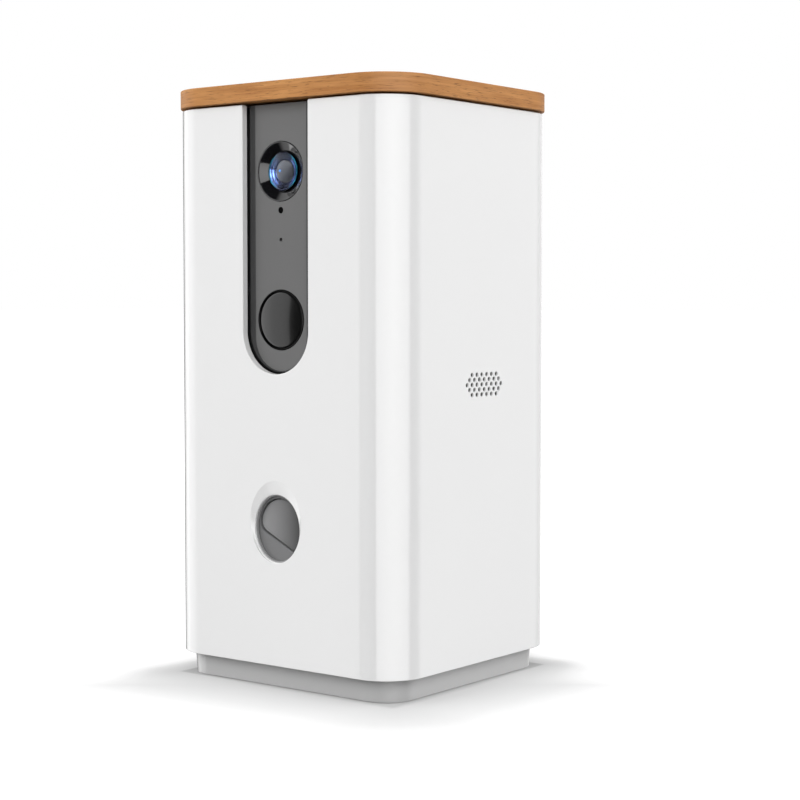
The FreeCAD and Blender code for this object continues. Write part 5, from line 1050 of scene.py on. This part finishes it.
class PETCAM_OT_inside(bpy.types.Operator):
    """Finishes of the packed nodes that keep their own shape"""

    bl_idname = "petcam.inside"
    bl_label = "Inside parts"

    def execute(self, context):
        scene = context.scene
        case, strip, works = scene.petcam_case, scene.petcam_strip, scene.petcam_inside
        finishes = {
            # The plinth's grey is painted shade under the housing's overhang.
            "plinth_white": moulded("plinth_white", tuple(case.plinth), 0.2, texture=0.05),
            "rubber_black": rubbery("rubber_black", (0.03, 0.03, 0.03)),
            "steel": metal("steel", (0.60, 0.60, 0.62), 0.3),
            "inner_white": moulded("inner_white", (0.80, 0.80, 0.79), 0.45),
            "silicone": rubbery("silicone", (0.62, 0.62, 0.62), 0.5, 500, 0.1),
            "bin_clear": moulded("bin_smoke", (0.50, 0.52, 0.54), 0.25, texture=0.1),
            "nylon_white": moulded("nylon_white", (0.80, 0.78, 0.72), 0.4),
            "motor_metal": metal("motor_metal", (0.55, 0.55, 0.57), 0.32),
            "strip_dark": moulded("strip_dark", tuple(strip.frame), 0.38, 0.08),
            "face_grey": self.face_finish(tuple(strip.face)),
            "barrel_black": moulded("barrel_black", (0.02, 0.02, 0.02), 0.4, 0.1),
            "board_green": circuit("board_green", tuple(works.board), (0.75, 0.72, 0.62), 260),
            "sensor_black": moulded("sensor_black", (0.001, 0.001, 0.0012), 0.3, 0.1, 0.02,
                                    specular_ior_level=0.02),
            "switch_black": moulded("switch_black", (0.004, 0.004, 0.004), 0.5, 0.1,
                                    specular_ior_level=0.1),
            "foam_black": rubbery("foam_black", (0.03, 0.03, 0.03)),
            "driver_black": moulded("driver_black", (0.03, 0.03, 0.03), 0.45, 0.1),
            "chamber_grey": moulded("chamber_grey", tuple(works.chamber), 0.36, 0.03),
            "paddle_grey": self.paddle_painted_shade(tuple(works.paddle)),
            "brass": metal("brass", (0.75, 0.55, 0.25), 0.28),
            "shield_metal": metal("shield_metal", (0.66, 0.66, 0.66), 0.35, (1, 1, 0.05)),
            "socket_metal": metal("socket_metal", (0.60, 0.60, 0.61), 0.25, (1, 0.05, 1)),
        }
        for part in frame["record"]["subparts"]:
            node = frame["nodes"][part["node"]]
            if part["material_slot"] in finishes:
                node.material_slots[0].material = finishes[part["material_slot"]]
        return {"FINISHED"}

    def paddle_painted_shade(self, color):
        """Moulded paddle with painted light and shade: its grey is painted lighter at the left
        edge and deepens to a dark grey at the right edge.
        """
        finish = Finish("paddle_grey")
        # Painted shade: a mask that darkens the paddle from its left edge to its right edge.
        deep = finish.greys((finish.part("X") + PADDLE_SHADE_HALF) / (2 * PADDLE_SHADE_HALF),
                            ((0.08, 0.0), (0.5, 0.5), (0.86, 1.0)))
        flow = finish.noise(FLOW_MARKS, 2, (1, 1, 0.4))
        # Painted light: the left side is painted lighter than the paddle's colour.
        light = finish.mix(flow, tint(color, 1.42), tint(color, 1.5))
        finish.dress(base_color=finish.mix(deep, light, tint(color, 0.27)),
                     roughness=0.3 + 0.08 * finish.noise(SHEEN_DRIFT, 3))
        finish.bump(finish.noise(SPARK_TEXTURE, 2), 0.25, 0.00004)
        return finish.material

    def face_finish(self, color):
        """Satin painted face with a very fine metallic speckle."""
        finish = Finish("face_grey", specular_ior_level=0.5)
        speckle = finish.noise(3500, 2)
        drift = finish.noise(25, 2)
        finish.dress(base_color=finish.mix(speckle, tint(color, 0.93), tint(color, 1.07)),
                     metallic=0.15 + 0.1 * speckle, roughness=0.42 + 0.05 * drift)
        finish.bump(speckle, 0.08, 0.00002)
        return finish.material


# ---- add-on ----


SETTINGS = {
    "petcam_case": CaseSettings,
    "petcam_lid": LidSettings,
    "petcam_strip": StripSettings,
    "petcam_inside": InsideSettings,
    "petcam_stage": StageSettings,
}
OPERATORS = (PETCAM_OT_stage, PETCAM_OT_case, PETCAM_OT_lid, PETCAM_OT_strip, PETCAM_OT_inside)


class PETCAM_PT_panel(bpy.types.Panel):
    """Settings and steps of the pet camera"""

    bl_idname = "PETCAM_PT_panel"
    bl_label = "Pet Camera"
    bl_space_type = "VIEW_3D"
    bl_region_type = "UI"
    bl_category = "Pet Camera"

    def draw(self, context):
        for operator in OPERATORS:
            self.layout.operator(operator.bl_idname)
        for name, group in SETTINGS.items():
            column = self.layout.column()
            column.label(text=group.__doc__)
            for setting in group.__annotations__:
                column.prop(getattr(context.scene, name), setting)


def register():
    """Register the classes and hang the settings on the scene."""
    for group in (*SETTINGS.values(), *OPERATORS, PETCAM_PT_panel):
        bpy.utils.register_class(group)
    for name, group in SETTINGS.items():
        setattr(bpy.types.Scene, name, bpy.props.PointerProperty(type=group))


def unregister():
    """Take the settings off the scene and remove the classes."""
    for name in SETTINGS:
        delattr(bpy.types.Scene, name)
    for group in (PETCAM_PT_panel, *reversed(OPERATORS), *SETTINGS.values()):
        bpy.utils.unregister_class(group)


def main():
    """Build the scene step by step."""
    register()
    for operator in OPERATORS:
        getattr(bpy.ops.petcam, operator.bl_idname.split(".")[1])()


if __name__ == "__main__":
    main()
